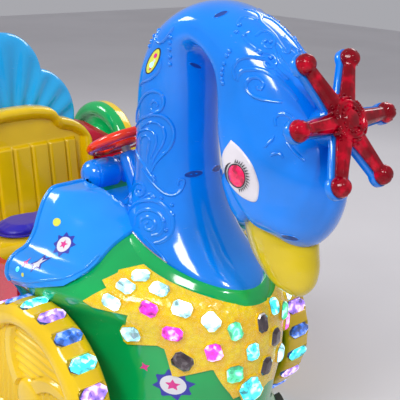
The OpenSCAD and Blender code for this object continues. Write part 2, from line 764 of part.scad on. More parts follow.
// Curved bands between the hub ring and the tread, as slices of rings set off the wheel's middle
band_n = 6;
module cover_bands(r, s) {
    translate([0, 0, face_in - 2]) linear_extrude(16) intersection() {
        difference() {
            circle(r - 40);
            circle(78);
        }
        for (i = [0 : band_n - 1]) rotate(s * (360 * i / band_n + 20)) intersection() {
            translate([0, s * 96]) difference() {
                circle(96 + 11);
                circle(96 - 11);
            }
            translate([0, s < 0 ? -200 : 0]) square([220, 200]);
        }
    }
}
module cover_wheel(r, s) {
    cover_shell(r);
    cover_bands(r, s);
}
cover_phase = 90 + 20.6;
module lamp_place(i, s) {
    cover_place(cover_front_x, s, cover_front_in, cover_z)
        rotate([0, 0, -s * (cover_phase - 360 * i / cover_lamps_n)]) children();
}
module front_cover(s) {
    color("yellow") difference() {
        cover_place(cover_front_x, s, cover_front_in, cover_z) union() {
            cover_wheel(cover_r, s);
            translate([0, 0, -40]) cylinder(h = cover_w + 30, r = cover_boss_r);
        }
        body_form(0, body_rear_x);
        translate([tub_rear_x, -tub_half - 1, 0]) cube([tub_front_x + 1 - tub_rear_x, 2 * tub_half + 2, 700]);
        for (i = [0 : cover_lamps_n - 1])
            lamp_place(i, s) translate([cover_r - 5, -21, 9]) cube([20, 42, cover_w - 27]);
    }
}
module rear_cover(s) {
    color("yellow") cover_place(-cover_rear_x, s, cover_rear_in, cover_rear_r + 8) union() {
        cover_wheel(cover_rear_r, s);
        translate([0, 0, tub_half - cover_rear_in]) cylinder(h = cover_w - 30 + cover_rear_in - tub_half, r = cover_boss_r);
    }
}
module cover_lamps() {
    color("aquamarine") difference() {
        for (s = side_mirror, i = [0 : cover_lamps_n - 1])
            lamp_place(i, s) translate([cover_r - 5 + lens_root, 0, cover_w / 2 - 4]) rotate([0, 90, 0])
                lens(cover_w - 34, 36, 7);
        body_form(seat_gap, body_rear_x);
    }
}
disc_r = 149;
disc_at = [-561, 576];
disc_t = 30;
// Length of the boss between the tub's side and a disc
disc_gap = 22;
module disc_place(s) {
    translate([disc_at[0], s * (tub_half + disc_gap), disc_at[1]]) rotate([-s * 90, 0, 0]) children();
}
module side_discs() {
    color("green") for (s = side_mirror) disc_place(s) union() {
        rotate_extrude($fn = 96) polygon([
            [0, 8], [40, 6], [44, 0], [70, 0], [74, 10], [100, 14], [108, 4], [126, 0], [142, 8],
            [disc_r, 20], [disc_r, disc_t], [0, disc_t]
        ]);
        translate([0, 0, -disc_gap]) cylinder(h = disc_gap + 8, r = 34);
    }
}
module side_disc_rims() {
    color("yellow") for (s = side_mirror) disc_place(s) rotate_extrude($fn = 96) polygon([
        [0, disc_t], [disc_r, disc_t], [disc_r, disc_t + 22], [disc_r - 14, disc_t + 34], [0, disc_t + 38]
    ]);
}
bumper_t = 18;
bumper_rear_end = -640;
module bumper_rear() {
    color("black") translate([0, 0, skirt_z + 8]) linear_extrude(52) difference() {
        oblong(tub_rear_x - seat_gap - bumper_t, tub_front_x, tub_half + seat_gap + bumper_t, tub_corner_r + bumper_t);
        oblong(tub_rear_x - seat_gap, tub_front_x + bumper_t, tub_half + seat_gap, tub_corner_r);
        translate([bumper_rear_end, -tub_half - 2 * bumper_t]) square([800, 2 * tub_half + 4 * bumper_t]);
    }
}
module bumper_front() {
    color("black") difference() {
        intersection() {
            skin([for (row = body_rows) body_ring(grown_row(row, bumper_t), body_rear_x)]);
            translate([350, -400, skirt_z + 8]) cube([300, 800, 52]);
        }
        body_form(0.3, body_rear_x);
    }
}
module pedal() {
    color("dimgray") union() {
        translate([-110, -110, floor_z]) cube([60, 50, 10]);
        translate([-104, -106, floor_z + 9]) rotate([0, -30, 0]) cube([62, 42, 7]);
    }
}

chassis();
battery();
drive_motor();
rear_axle();
front_axle();
knuckle(1);  // knuckle_left
knuckle(-1);  // knuckle_right
tie_rod();
hub(front_axle_x, front_track_half);  // hub_front_left
hub(front_axle_x, -front_track_half);  // hub_front_right
hub(-rear_axle_x, rear_track_half);  // hub_rear_left
hub(-rear_axle_x, -rear_track_half);  // hub_rear_right
tyre(front_axle_x, front_track_half);  // tyre_front_left
tyre(front_axle_x, -front_track_half);  // tyre_front_right
tyre(-rear_axle_x, rear_track_half);  // tyre_rear_left
tyre(-rear_axle_x, -rear_track_half);  // tyre_rear_right
tub();
front_body();
breast_plates();
breast_lamps();
cowl();
dash_roll();
steering_column();
steering_wheel();
neck();
head();
beak();
crown_base();
crown();
eyes();
seat();
seat_cushion();
tail_fan();
front_cover(1);  // wheel_cover_front_left
front_cover(-1);  // wheel_cover_front_right
cover_lamps();
rear_cover(1);  // wheel_cover_rear_left
rear_cover(-1);  // wheel_cover_rear_right
side_discs();
side_disc_rims();
bumper_front();
bumper_rear();
pedal();
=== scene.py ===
"""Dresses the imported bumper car: finishes, finer pieces over the plain solids, stage and camera."""

import logging
import math
from dataclasses import dataclass, field
from enum import Enum
from functools import cached_property
from typing import Any, Callable, Iterable, Optional, Sequence, Union

import bmesh
import bpy
import numpy as np
from mathutils import Matrix, Vector
from mathutils.bvhtree import BVHTree


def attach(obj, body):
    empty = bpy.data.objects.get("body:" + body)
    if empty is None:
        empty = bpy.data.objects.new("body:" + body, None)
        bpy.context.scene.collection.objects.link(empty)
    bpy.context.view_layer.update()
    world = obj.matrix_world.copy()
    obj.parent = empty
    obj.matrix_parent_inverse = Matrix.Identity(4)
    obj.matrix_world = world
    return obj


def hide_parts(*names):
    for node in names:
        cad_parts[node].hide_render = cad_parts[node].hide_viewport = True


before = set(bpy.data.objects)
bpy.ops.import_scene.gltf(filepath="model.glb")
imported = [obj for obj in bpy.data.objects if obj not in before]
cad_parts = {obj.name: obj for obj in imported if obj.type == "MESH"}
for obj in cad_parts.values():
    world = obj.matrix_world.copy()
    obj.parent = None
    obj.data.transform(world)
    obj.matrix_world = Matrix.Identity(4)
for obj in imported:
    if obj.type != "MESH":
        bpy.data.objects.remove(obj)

LOG = logging.getLogger("bumper_car")
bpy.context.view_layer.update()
MM = 0.001
ROOT = "car"
Number = Union[int, float]
Pair = tuple[float, float]
Triple = tuple[float, float, float]
Colour = Triple


# --------------------------------------------------------------------------- shaders
class Wire:
    """A shader socket that takes part in Python arithmetic."""

    def __init__(self, shader: "Shader", socket: bpy.types.NodeSocket) -> None:
        """Keep the socket and the shader that it belongs to."""
        self.shader = shader
        self.socket = socket

    def math(self, operation: str, other: Union["Wire", Number]) -> "Wire":
        """Join this wire with another wire or a number in one Math node."""
        node = self.shader.node("ShaderNodeMath", {"operation": operation}, {0: self, 1: other})
        return Wire(self.shader, node.outputs[0])

    def __add__(self, other: Union["Wire", Number]) -> "Wire":
        """Sum."""
        return self.math("ADD", other)

    def __mul__(self, other: Union["Wire", Number]) -> "Wire":
        """Product."""
        return self.math("MULTIPLY", other)

    def smooth(self, low: float, high: float) -> "Wire":
        """Map the span low to high smoothly onto 0 to 1."""
        node = self.shader.node(
            "ShaderNodeMapRange",
            {"interpolation_type": "SMOOTHSTEP"},
            {"Value": self, "From Min": low, "From Max": high},
        )
        return Wire(self.shader, node.outputs[0])


class Shader:
    """Builds one node material around a Principled shader."""

    def __init__(self, name: str) -> None:
        """Start an empty material of that name."""
        self.material = bpy.data.materials.new(name)
        self.material.use_nodes = True
        self.tree = self.material.node_tree
        self.tree.nodes.clear()
        output = self.tree.nodes.new("ShaderNodeOutputMaterial")
        self.principled = self.tree.nodes.new("ShaderNodeBsdfPrincipled")
        self.tree.links.new(self.principled.outputs[0], output.inputs[0])

    def node(self, kind: str, settings: dict[str, Any], inputs: dict[Any, Any]) -> bpy.types.Node:
        """Add a node.

        Args:
            kind: the node's type name.
            settings: its own settings, set before the sockets.
            inputs: socket names or indices with a wire, number, colour or vector each.

        Returns:
            The new node.
        """
        node = self.tree.nodes.new(kind)
        for key, value in settings.items():
            if key == "stops":
                ramp = node.color_ramp
                while len(ramp.elements) < len(value):
                    ramp.elements.new(0.5)
                for element, (place, colour) in zip(ramp.elements, value):
                    element.position, element.color = place, (*colour, 1.0)
            else:
                setattr(node, key, value)
        for key, value in inputs.items():
            self.feed(node.inputs[key], value)
        return node

    def feed(self, socket: bpy.types.NodeSocket, value: Any) -> None:
        """Link a wire to the socket, or set a plain value on it."""
        if isinstance(value, Wire):
            self.tree.links.new(value.socket, socket)
        elif isinstance(value, tuple) and len(value) == 3 and socket.type == "RGBA":
            socket.default_value = (*value, 1.0)
        else:
            socket.default_value = value

    def coords(self) -> Wire:
        """Object coordinates."""
        return Wire(self, self.node("ShaderNodeTexCoord", {}, {}).outputs["Object"])

    def stretched(self, scale: Triple, turn: Triple = (0, 0, 0)) -> Wire:
        """Object coordinates, turned and scaled."""
        inputs = {"Vector": self.coords(), "Scale": scale, "Rotation": turn}
        return Wire(self, self.node("ShaderNodeMapping", {}, inputs).outputs[0])

    def noise(self, scale: float, detail: float = 2.0, vector: Optional[Wire] = None) -> Wire:
        """Noise of that scale over the surface."""
        vector = vector or self.coords()
        node = self.node("ShaderNodeTexNoise", {}, {"Vector": vector, "Scale": scale, "Detail": detail})
        return Wire(self, node.outputs["Fac"])

    def cells(self, scale: float, feature: str = "F1", output: str = "Distance") -> Wire:
        """Voronoi cells of that scale."""
        inputs = {"Vector": self.coords(), "Scale": scale}
        return Wire(self, self.node("ShaderNodeTexVoronoi", {"feature": feature}, inputs).outputs[output])

    def cell_value(self, scale: float, channel: int) -> Wire:
        """A random value for each Voronoi cell: one channel of the cell's colour."""
        inputs = {"Color": self.cells(scale, output="Color")}
        return Wire(self, self.node("ShaderNodeSeparateColor", {}, inputs).outputs[channel])

    def mix(self, factor: Union[Wire, float], first: Union[Wire, Colour],
            second: Union[Wire, Colour]) -> Wire:
        """Mix two colours."""
        node = self.node("ShaderNodeMix", {"data_type": "RGBA"}, {0: factor, 6: first, 7: second})
        return Wire(self, node.outputs[2])

    def bump(self, height: Wire, strength: float, distance: float) -> Wire:
        """Turn a height into a normal."""
        node = self.node("ShaderNodeBump", {}, {"Height": height, "Strength": strength, "Distance": distance})
        return Wire(self, node.outputs[0])

    def surface(self, inputs: dict[str, Any]) -> bpy.types.Material:
        """Feed the Principled shader's sockets and hand the material over."""
        for key, value in inputs.items():
            self.feed(self.principled.inputs[key], value)
        return self.material


def shade(colour: Colour, factor: float) -> Colour:
    """A lighter or darker version of a colour."""
    return tuple(min(1.0, c * factor) for c in colour)


@dataclass(frozen=True)
class MouldedGloss:
    """Glossy rotomoulded plastic: long waves, fine peel, faint scuffs and dust in the gloss."""

    name: str
    colour: Colour
    roughness: float = 0.16
    peel: float = 0.05
    depth: float = 0.86

    def build(self) -> bpy.types.Material:
        """Build the material."""
        s = Shader(self.name)
        cloud = s.noise(5.0, 3.0).smooth(0.3, 0.7)
        colour = s.mix(cloud, shade(self.colour, self.depth), shade(self.colour, 1.06))
        scuffs = s.noise(70.0, 6.0, s.stretched((1.0, 0.35, 1.6), (0.3, 0.5, 0.2))).smooth(0.66, 0.74)
        colour = s.mix(scuffs * 0.18, colour, shade(self.colour, 0.7))
        roughness = s.noise(18.0, 4.0) * 0.10 + (self.roughness - 0.05) + scuffs * 0.18
        height = s.noise(9.0, 2.0) * 0.7 + s.noise(260.0, 1.0) * self.peel
        return s.surface({
            "Base Color": colour, "Roughness": roughness, "Coat Weight": 0.6, "Coat Roughness": 0.05,
            "Normal": s.bump(height, 0.22, 0.004),
        })


@dataclass(frozen=True)
class GlitterPlate:
    """Gold plate with a hammered surface and glitter flakes under the lacquer."""

    name: str
    colour: Colour
    deep: Colour

    def build(self) -> bpy.types.Material:
        """Build the material."""
        s = Shader(self.name)
        dents = s.cells(88.0)
        spark = s.cell_value(620.0, 0)
        flash = spark.smooth(0.82, 0.95)
        base = s.mix(s.noise(26.0, 3.0).smooth(0.38, 0.62), self.deep, self.colour)
        base = s.mix(dents.smooth(0.3, 0.8) * 0.35, base, shade(self.deep, 0.8))
        base = s.mix(flash * 0.4, base, (1.0, 0.93, 0.45))
        return s.surface({
            "Base Color": base, "Roughness": spark * 0.22 + 0.14, "Metallic": flash * 0.3,
            "Coat Weight": 0.8, "Coat Roughness": 0.04,
            "Normal": s.bump(dents * 1.2 + spark * 0.03, 0.4, 0.003),
        })


@dataclass(frozen=True)
class LampGlass:
    """A lit lens: bright glass with its own glow, uneven inside like cut crystal."""

    name: str
    colour: Colour
    glow: Colour
    strength: float
    core: float = 0.5

    def build(self) -> bpy.types.Material:
        """Build the material."""
        s = Shader(self.name)
        part = s.cell_value(95.0, 1) * 0.42 + s.noise(42.0, 1.0).smooth(0.3, 0.66) * 0.58
        ramp = s.node("ShaderNodeValToRGB", {"stops": (
            (0.08, shade(self.glow, 0.12)), (0.34, shade(self.glow, 0.5)), (0.6, self.glow),
            (0.86, tuple(min(1.0, c + self.core) for c in self.glow)))}, {"Fac": part})
        glow = Wire(s, ramp.outputs[0])
        return s.surface({
            "Base Color": s.mix(part, shade(self.colour, 0.25), self.colour), "Roughness": 0.06,
            "IOR": 1.5, "Coat Weight": 1.0, "Coat Roughness": 0.02,
            "Emission Color": glow, "Emission Strength": self.strength,
            "Normal": s.bump(part, 0.25, 0.003),
        })


@dataclass(frozen=True)
class TintedGlass:
    """Clear tinted resin with waves inside, and a painted glow: the resin gives off light though it holds no lamp."""

    name: str
    colour: Colour
    glow: Colour
    transmission: float

    def build(self) -> bpy.types.Material:
        """Build the material."""
        s = Shader(self.name)
        waves = s.noise(38.0, 3.0)
        colour = s.mix(waves.smooth(0.3, 0.75), shade(self.colour, 0.45), self.colour)
        # Painted glow: emission that makes the resin shine of itself.
        glow = s.mix(waves.smooth(0.45, 0.7), shade(self.colour, 0.3), self.glow)
        return s.surface({
            "Base Color": colour, "Roughness": 0.07, "IOR": 1.47,
            "Transmission Weight": self.transmission, "Specular IOR Level": 0.3,
            "Emission Color": glow, "Emission Strength": 0.4,
            "Normal": s.bump(waves, 0.3, 0.004),
        })


@dataclass(frozen=True)
class Metal:
    """Brushed or painted metal with fine grain, grime and worn spots."""

    name: str
    colour: Colour
    metallic: float
    roughness: float

    def build(self) -> bpy.types.Material:
        """Build the material."""
        s = Shader(self.name)
        grain = s.noise(240.0, 2.0, s.stretched((1.0, 8.0, 1.0)))
        grime = s.noise(22.0, 5.0).smooth(0.45, 0.75)
        return s.surface({
            "Base Color": s.mix(grime, self.colour, shade(self.colour, 0.55)), "Metallic": self.metallic,
            "Roughness": grain * 0.16 + grime * 0.2 + (self.roughness - 0.08),
            "Normal": s.bump(grain, 0.12, 0.001),
        })


@dataclass(frozen=True)
class SoftSkin:
    """Rubber or vinyl: fine grain, dust in the hollows, low gloss."""

    name: str
    colour: Colour
    roughness: float
    grain: float
    dust: Colour

    def build(self) -> bpy.types.Material:
        """Build the material."""
        s = Shader(self.name)
        pores = s.cells(self.grain, "SMOOTH_F1")
        wear = s.noise(12.0, 5.0).smooth(0.45, 0.8)
        return s.surface({
            "Base Color": s.mix(wear * 0.35, self.colour, self.dust),
            "Roughness": wear * 0.15 + self.roughness, "Sheen Weight": 0.15,
            "Normal": s.bump(pores + s.noise(35.0, 3.0) * 0.6, 0.25, 0.0012),
        })


class Finish(Enum):
    """Every finish of the car."""

    BLUE = MouldedGloss("blue_shell", (0.0, 0.235, 0.92), 0.13)
    LIGHT_BLUE = MouldedGloss("light_blue_shell", (0.008, 0.31, 0.95), 0.16)
    FAN_BLUE = MouldedGloss("fan_shell", (0.015, 0.46, 1.0), 0.18)
    GREEN = MouldedGloss("green_shell", (0.0, 0.44, 0.10), 0.14)
    YELLOW = MouldedGloss("yellow_shell", (0.98, 0.64, 0.0), 0.2)
    BEAK = MouldedGloss("beak_shell", (0.76, 0.57, 0.0), 0.2)
    RED = MouldedGloss("red_shell", (0.60, 0.0, 0.035), 0.2)
    ORANGE = MouldedGloss("wheel_rim_shell", (1.0, 0.03, 0.0), 0.2)
    GOLD = GlitterPlate("gold_flake_lacquer", (1.0, 0.74, 0.0), (0.98, 0.58, 0.0))
    # The crown's resin carries a painted glow.
    CROWN = TintedGlass("crown_resin", (0.34, 0.0, 0.010), (0.75, 0.0, 0.03), 0.06)
    EYE_WHITE = MouldedGloss("eye_enamel", (0.80, 0.76, 0.82), 0.22)
    # The eye stones glow through the lens material: painted glow, as they hold no lamp.
    EYE_GEM = LampGlass("eye_gem", (0.75, 0.0, 0.08), (0.85, 0.0, 0.10), 0.7, 0.06)
    INK = MouldedGloss("printed_black", (0.012, 0.01, 0.02), 0.35)
    PAPER = MouldedGloss("printed_white", (0.80, 0.80, 0.86), 0.35)
    PRINT_YELLOW = MouldedGloss("printed_yellow", (0.80, 0.82, 0.08), 0.35)
    PRINT_BLUE = MouldedGloss("printed_blue", (0.02, 0.03, 0.42), 0.35)
    PRINT_PINK = MouldedGloss("printed_pink", (0.80, 0.03, 0.30), 0.35)
    CYAN_LAMP = LampGlass("cyan_lens", (0.12, 0.80, 0.9), (0.02, 0.72, 0.86), 1.7)
    WHITE_LAMP = LampGlass("white_lens", (0.7, 0.95, 1.0), (0.30, 0.84, 0.96), 2.2)
    MAGENTA_LAMP = LampGlass("magenta_lens", (0.8, 0.05, 0.65), (0.88, 0.02, 0.55), 1.9)
    GREEN_LAMP = LampGlass("green_lens", (0.2, 0.85, 0.5), (0.02, 0.75, 0.32), 1.3)
    BLUE_LAMP = LampGlass("blue_lens", (0.1, 0.25, 0.8), (0.03, 0.16, 0.8), 1.0)
    VIOLET_LAMP = LampGlass("violet_lens", (0.42, 0.28, 0.9), (0.30, 0.14, 0.85), 1.6)
    # The stones' girdles: dark blue for the coloured backing, plus painted shade along the stones' edges.
    LAMP_BACKING_AND_SHADE = LampGlass("lens_edge_backing_and_shade", (0.02, 0.09, 0.32), (0.01, 0.10, 0.42), 0.35, 0.1)
    DARK_LAMP = LampGlass("unlit_lens", (0.075, 0.045, 0.06), (0.02, 0.01, 0.015), 0.2)
    # Painted shade: the slots' floors are coloured dark blue for the shade inside them.
    SOCKET = MouldedGloss("slot_shadow", (0.0, 0.05, 0.33), 0.5)
    STEEL = Metal("zinc_plated_steel", (0.55, 0.55, 0.57), 0.95, 0.34)
    PAINTED = Metal("painted_steel", (0.03, 0.032, 0.036), 0.2, 0.45)
    CHROME = Metal("bright_trim", (0.8, 0.8, 0.82), 1.0, 0.16)
    CASE = SoftSkin("moulded_case", (0.03, 0.03, 0.035), 0.5, 300.0, (0.1, 0.1, 0.1))
    TYRE = SoftSkin("tyre_compound", (0.018, 0.018, 0.02), 0.62, 420.0, (0.12, 0.11, 0.1))
    RUBBER = SoftSkin("bumper_compound", (0.022, 0.022, 0.024), 0.5, 380.0, (0.13, 0.12, 0.11))
    VINYL = SoftSkin("cushion_vinyl", (0.022, 0.012, 0.52), 0.34, 260.0, (0.05, 0.035, 0.58))

    @property
    def material(self) -> bpy.types.Material:
        """The finish's material, built at its first use."""
        known = bpy.data.materials.get(self.value.name)
        return known if known else self.value.build()


# --------------------------------------------------------------------------- the view
@dataclass(frozen=True)
class View:
    """The photograph's viewpoint: also where surface drawings are cast from."""

    place: tuple[float, float, float] = (1.507, -1.224, 1.258)
    azimuth: float = 45.43
    elevation: float = 18.34
    roll: float = 2.11
    focal: float = 810.9
    width: float = 400.0

    def axes(self) -> tuple[Vector, Vector, Vector]:
        """The image's rightward and upward directions, and the direction back to the camera."""
        a, e, r = (math.radians(v) for v in (self.azimuth, self.elevation, self.roll))
        back = Vector((math.sin(a) * math.cos(e), -math.cos(a) * math.cos(e), math.sin(e)))
        right = Vector((math.cos(a), math.sin(a), 0))
        up = back.cross(right)
        return math.cos(r) * right + math.sin(r) * up, -math.sin(r) * right + math.cos(r) * up, back

    def aim(self, px: float, py: float) -> Vector:
        """The direction of the line of sight through an image point."""
        side, rise, back = self.axes()
        half = self.width / 2
        return (side * ((px - half) / self.focal) + rise * ((half - py) / self.focal) - back).normalized()


VIEW = View()


# --------------------------------------------------------------------------- mesh kit
def around(n: int) -> np.ndarray:
    """The angles of n points round a circle."""
    return np.linspace(0, 2 * math.pi, n, endpoint=False)


def compass(degrees: float) -> tuple[np.ndarray, np.ndarray]:
    """The directions outwards and sideways at an angle about the z axis."""
    t = math.radians(degrees)
    return np.array([math.cos(t), math.sin(t), 0]), np.array([-math.sin(t), math.cos(t), 0])


def leaned(x: np.ndarray, h: np.ndarray, degrees: float) -> tuple[np.ndarray, np.ndarray]:
    """Lean places, x ahead of and h above their foot, backwards by an angle."""
    a = math.radians(degrees)
    return x * math.cos(a) - h * math.sin(a), h * math.cos(a) + x * math.sin(a)


def soft_rows(rows: Sequence[Sequence[float]], steps: int) -> np.ndarray:
    """Read rows off a soft curve.

    Args:
        rows: the control rows.
        steps: rows made from one control row to the next.

    Returns:
        One array row for each step, the last control row included.
    """
    r = np.asarray(rows, float)
    out = []
    for i in range(len(r) - 1):
        a, b, c, d = r[max(i - 1, 0)], r[i], r[i + 1], r[min(i + 2, len(r) - 1)]
        square, cube = 2 * a - 5 * b + 4 * c - d, 3 * b - a - 3 * c + d
        for t in (k / steps for k in range(steps)):
            out.append((2 * b + (c - a) * t + square * t * t + cube * t**3) / 2)
    return np.array([*out, r[-1]])


@dataclass
class Shape:
    """A mesh in the making: points, faces and a material index for each face."""

    points: list[tuple[float, float, float]] = field(default_factory=list)
    faces: list[tuple[int, ...]] = field(default_factory=list)
    marks: list[int] = field(default_factory=list)

    def add(self, points: Iterable[Sequence[float]], faces: Iterable[Sequence[int]], mark: int = 0) -> "Shape":
        """Append points and faces that count from those points."""
        start = len(self.points)
        self.points.extend(tuple(float(v) for v in p) for p in points)
        for face in faces:
            self.faces.append(tuple(start + i for i in face))
            self.marks.append(mark)
        return self

    def skin(self, rings: np.ndarray, mark: int = 0, caps: tuple[bool, bool] = (True, True),
             loop: bool = True) -> "Shape":
        """Skin a stack of rings.

        Args:
            rings: an array of rings, points and coordinates.
            mark: the material index.
            caps: close the first and the last ring.
            loop: each ring is closed.

        Returns:
            This shape.
        """
        count, n = rings.shape[:2]
        wrap = n if loop else n - 1
        faces = [
            (i * n + j, i * n + (j + 1) % n, (i + 1) * n + (j + 1) % n, (i + 1) * n + j)
            for i in range(count - 1) for j in range(wrap)
        ]
        if caps[0]:
            faces.append(tuple(range(n - 1, -1, -1)))
        if caps[1]:
            faces.append(tuple((count - 1) * n + j for j in range(n)))
        return self.add(rings.reshape(-1, 3), faces, mark)

    def mirrored(self) -> "Shape":
        """This shape with its mirror image across the car's middle plane added."""
        n = len(self.points)
        self.points += [(x, -y, z) for x, y, z in self.points]
        self.faces += [tuple(n + i for i in reversed(f)) for f in self.faces]
        self.marks += self.marks
        return self

    def join(self, other: "Shape") -> "Shape":
        """Append another shape with its marks."""
        start = len(self.points)
        self.points += other.points
        self.faces += [tuple(start + i for i in face) for face in other.faces]
        self.marks += other.marks
        return self

    def build(self, name: str, finishes: Sequence[Finish], smooth: float = 40.0,
              outward: bool = True) -> bpy.types.Object:
        """Make the object.

        Args:
            name: the piece's name.
            finishes: the finishes that the marks count in.
            smooth: edges sharper than this many degrees stay sharp.
            outward: recalculate the faces' directions.

        Returns:
            The object, at the origin.
        """
        mesh = bpy.data.meshes.new(name)
        mesh.from_pydata(self.points, [], self.faces)
        mesh.polygons.foreach_set("material_index", self.marks)
        bm = bmesh.new()
        bm.from_mesh(mesh)
        bmesh.ops.remove_doubles(bm, verts=bm.verts, dist=1e-6)
        bmesh.ops.dissolve_degenerate(bm, edges=bm.edges, dist=1e-7)
        if outward:
            bmesh.ops.recalc_face_normals(bm, faces=bm.faces)
        bm.to_mesh(mesh)
        bm.free()
        for finish in finishes:
            mesh.materials.append(finish.material)
        return smooth_piece(linked(name, mesh), smooth)


def linked(name: str, data: Any) -> bpy.types.Object:
    """A new object with that data, in the scene."""
    piece = bpy.data.objects.new(name, data)
    bpy.context.scene.collection.objects.link(piece)
    return piece


def baked(piece: bpy.types.Object) -> bpy.types.Mesh:
    """A new mesh of a piece with all its modifiers applied."""
    graph = bpy.context.evaluated_depsgraph_get()
    graph.update()
    return bpy.data.meshes.new_from_object(piece.evaluated_get(graph))


def evaluated(piece: bpy.types.Object) -> bpy.types.Object:
    """Apply every modifier of a piece by swapping in its evaluated mesh."""
    mesh = baked(piece)
    piece.modifiers.clear()
    piece.data = mesh
    return piece


def cut(piece: bpy.types.Object, tool: bpy.types.Object, operation: str = "DIFFERENCE") -> bpy.types.Object:
    """Cut a piece with a tool object, which is deleted."""
    modifier = piece.modifiers.new("cut", "BOOLEAN")
    modifier.operation, modifier.object, modifier.solver = operation, tool, "EXACT"
    evaluated(piece)
    bpy.data.objects.remove(tool)
    return piece


def smooth_piece(piece: bpy.types.Object, angle: float) -> bpy.types.Object:
    """Shade a piece smooth, with edges sharper than the angle left sharp."""
    piece.data.polygons.foreach_set("use_smooth", [True] * len(piece.data.polygons))
    piece.data.set_sharp_from_angle(angle=math.radians(angle))
    return piece


def place(piece: bpy.types.Object, slot: str, body: str = ROOT, replaces: Sequence[str] = ()) -> bpy.types.Object:
    """Let a piece ride on a body and hide the nodes that it stands for."""
    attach(piece, body)
    if replaces:
        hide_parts(*replaces)
    LOG.info("%s: %d faces", piece.name, len(piece.data.polygons))
    return piece


def thickened(piece: bpy.types.Object, wall: float) -> bpy.types.Object:
    """Give a sheet a wall of that many mm behind its face."""
    modifier = piece.modifiers.new("wall", "SOLIDIFY")
    modifier.thickness, modifier.offset = wall * MM, -1.0
    return evaluated(piece)


def refinished(piece: bpy.types.Object, finish: Finish) -> bpy.types.Object:
    """Give a piece one finish in place of all that it has."""
    piece.data.materials.clear()
    piece.data.materials.append(finish.material)
    return piece


def bevelled(piece: bpy.types.Object, width: float, finish: Finish) -> bpy.types.Object:
    """Round a cut piece's sharp edges over that many mm and give it one finish."""
    edge = piece.modifiers.new("edge", "BEVEL")
    edge.width, edge.segments, edge.limit_method = width * MM, 2, "ANGLE"
    edge.angle_limit = math.radians(50)
    return refinished(evaluated(piece), finish)


def lathe(profile: Sequence[tuple[float, float]], n: int, offset: Optional[Callable] = None) -> np.ndarray:
    """Turn a profile of (radius, height) about the z axis.

    Args:
        profile: radius and height of each point.
        n: points round the axis.
        offset: takes radius, height and angle arrays and returns the changed radius and height.

    Returns:
        Rings for Shape.skin, one for each profile point.
    """
    p = np.asarray(profile, float)
    a = around(n)
    r = np.repeat(p[:, :1], n, 1)
    z = np.repeat(p[:, 1:], n, 1)
    if offset:
        r, z = offset(r, z, np.broadcast_to(a, r.shape))
    return np.stack([r * np.cos(a), r * np.sin(a), z], -1)


def resample(points: Sequence[Sequence[float]], step: float, closed: bool = False) -> np.ndarray:
    """Points evenly spaced along a polyline."""
    p = np.asarray(points, float)
    if closed:
        p = np.vstack([p, p[:1]])
    length = np.concatenate([[0], np.cumsum(np.linalg.norm(np.diff(p, axis=0), axis=1))])
    count = max(int(length[-1] / step), 2)
    at = np.linspace(0, length[-1], count + 1)
    if closed:
        at = at[:-1]
    return np.stack([np.interp(at, length, p[:, k]) for k in range(p.shape[1])], 1)


def cutter(rings: np.ndarray) -> bpy.types.Object:
    """A closed solid to cut with, from rings in metres."""
    return Shape().skin(rings).build("cutter", [Finish.STEEL])


def prism(outline: Sequence[Pair], half: float = 400.0) -> bpy.types.Object:
    """A cutting block: an (x, z) outline drawn out across the car, mm."""
    return cutter(np.array([[(x, y, z) for x, z in outline] for y in (-half, half)]) * MM)


def block(x: Pair, half: float, z: Pair) -> bpy.types.Object:
    """A cutting block between two places in x and two in z, as wide to both sides, mm."""
    corners = ((x[0], -half), (x[1], -half), (x[1], half), (x[0], half))
    return cutter(np.array([[(*corner, h) for corner in corners] for h in z]) * MM)


# --------------------------------------------------------------------------- node trees
class GeoTree:
    """A Geometry Nodes tree with named inputs, built step by step."""

    def __init__(self, name: str, inputs: dict[str, tuple[str, Any]]) -> None:
        """Start the tree.

        Args:
            name: the tree's name.
            inputs: each input's name with its socket type and its value.
        """
        self.tree = bpy.data.node_groups.new(name, "GeometryNodeTree")
        self.tree.interface.new_socket("Geometry", in_out="INPUT", socket_type="NodeSocketGeometry")
        for label, (kind, _) in inputs.items():
            self.tree.interface.new_socket(label, in_out="INPUT", socket_type=kind)
        self.tree.interface.new_socket("Geometry", in_out="OUTPUT", socket_type="NodeSocketGeometry")
        self.values = {label: value for label, (_, value) in inputs.items()}
        self.start = self.tree.nodes.new("NodeGroupInput")
        self.end = self.tree.nodes.new("NodeGroupOutput")

    def add(self, kind: str, settings: dict[str, Any], inputs: dict[Any, Any]) -> bpy.types.Node:
        """Add a node with its settings and its linked or plain inputs."""
        node = self.tree.nodes.new(kind)
        for key, value in settings.items():
            setattr(node, key, value)
        for key, value in inputs.items():
            if isinstance(value, bpy.types.NodeSocket):
                self.tree.links.new(value, node.inputs[key])
            else:
                node.inputs[key].default_value = value
        return node

    def given(self, label: str) -> bpy.types.NodeSocket:
        """The tree's own input of that name."""
        return self.start.outputs[label]

    def close(self, geometry: bpy.types.NodeSocket) -> "GeoTree":
        """End the tree in Realize Instances and Set Material."""
        real = self.add("GeometryNodeRealizeInstances", {}, {0: geometry})
        dressed = self.add("GeometryNodeSetMaterial", {}, {0: real.outputs[0], "Material": self.given("Material")})
        self.tree.links.new(dressed.outputs[0], self.end.inputs[0])
        return self

    def run(self, source: bpy.types.Object, name: str) -> bpy.types.Object:
        """Run the tree on a source object and return its result as a plain mesh piece."""
        modifier = source.modifiers.new("tree", "NODES")
        modifier.node_group = self.tree
        for item in self.tree.interface.items_tree:
            if item.item_type == "SOCKET" and item.in_out == "INPUT" and item.name in self.values:
                modifier[item.identifier] = self.values[item.name]
        mesh = baked(source)
        mesh.name = name
        bpy.data.objects.remove(source)
        return smooth_piece(linked(name, mesh), 40.0)


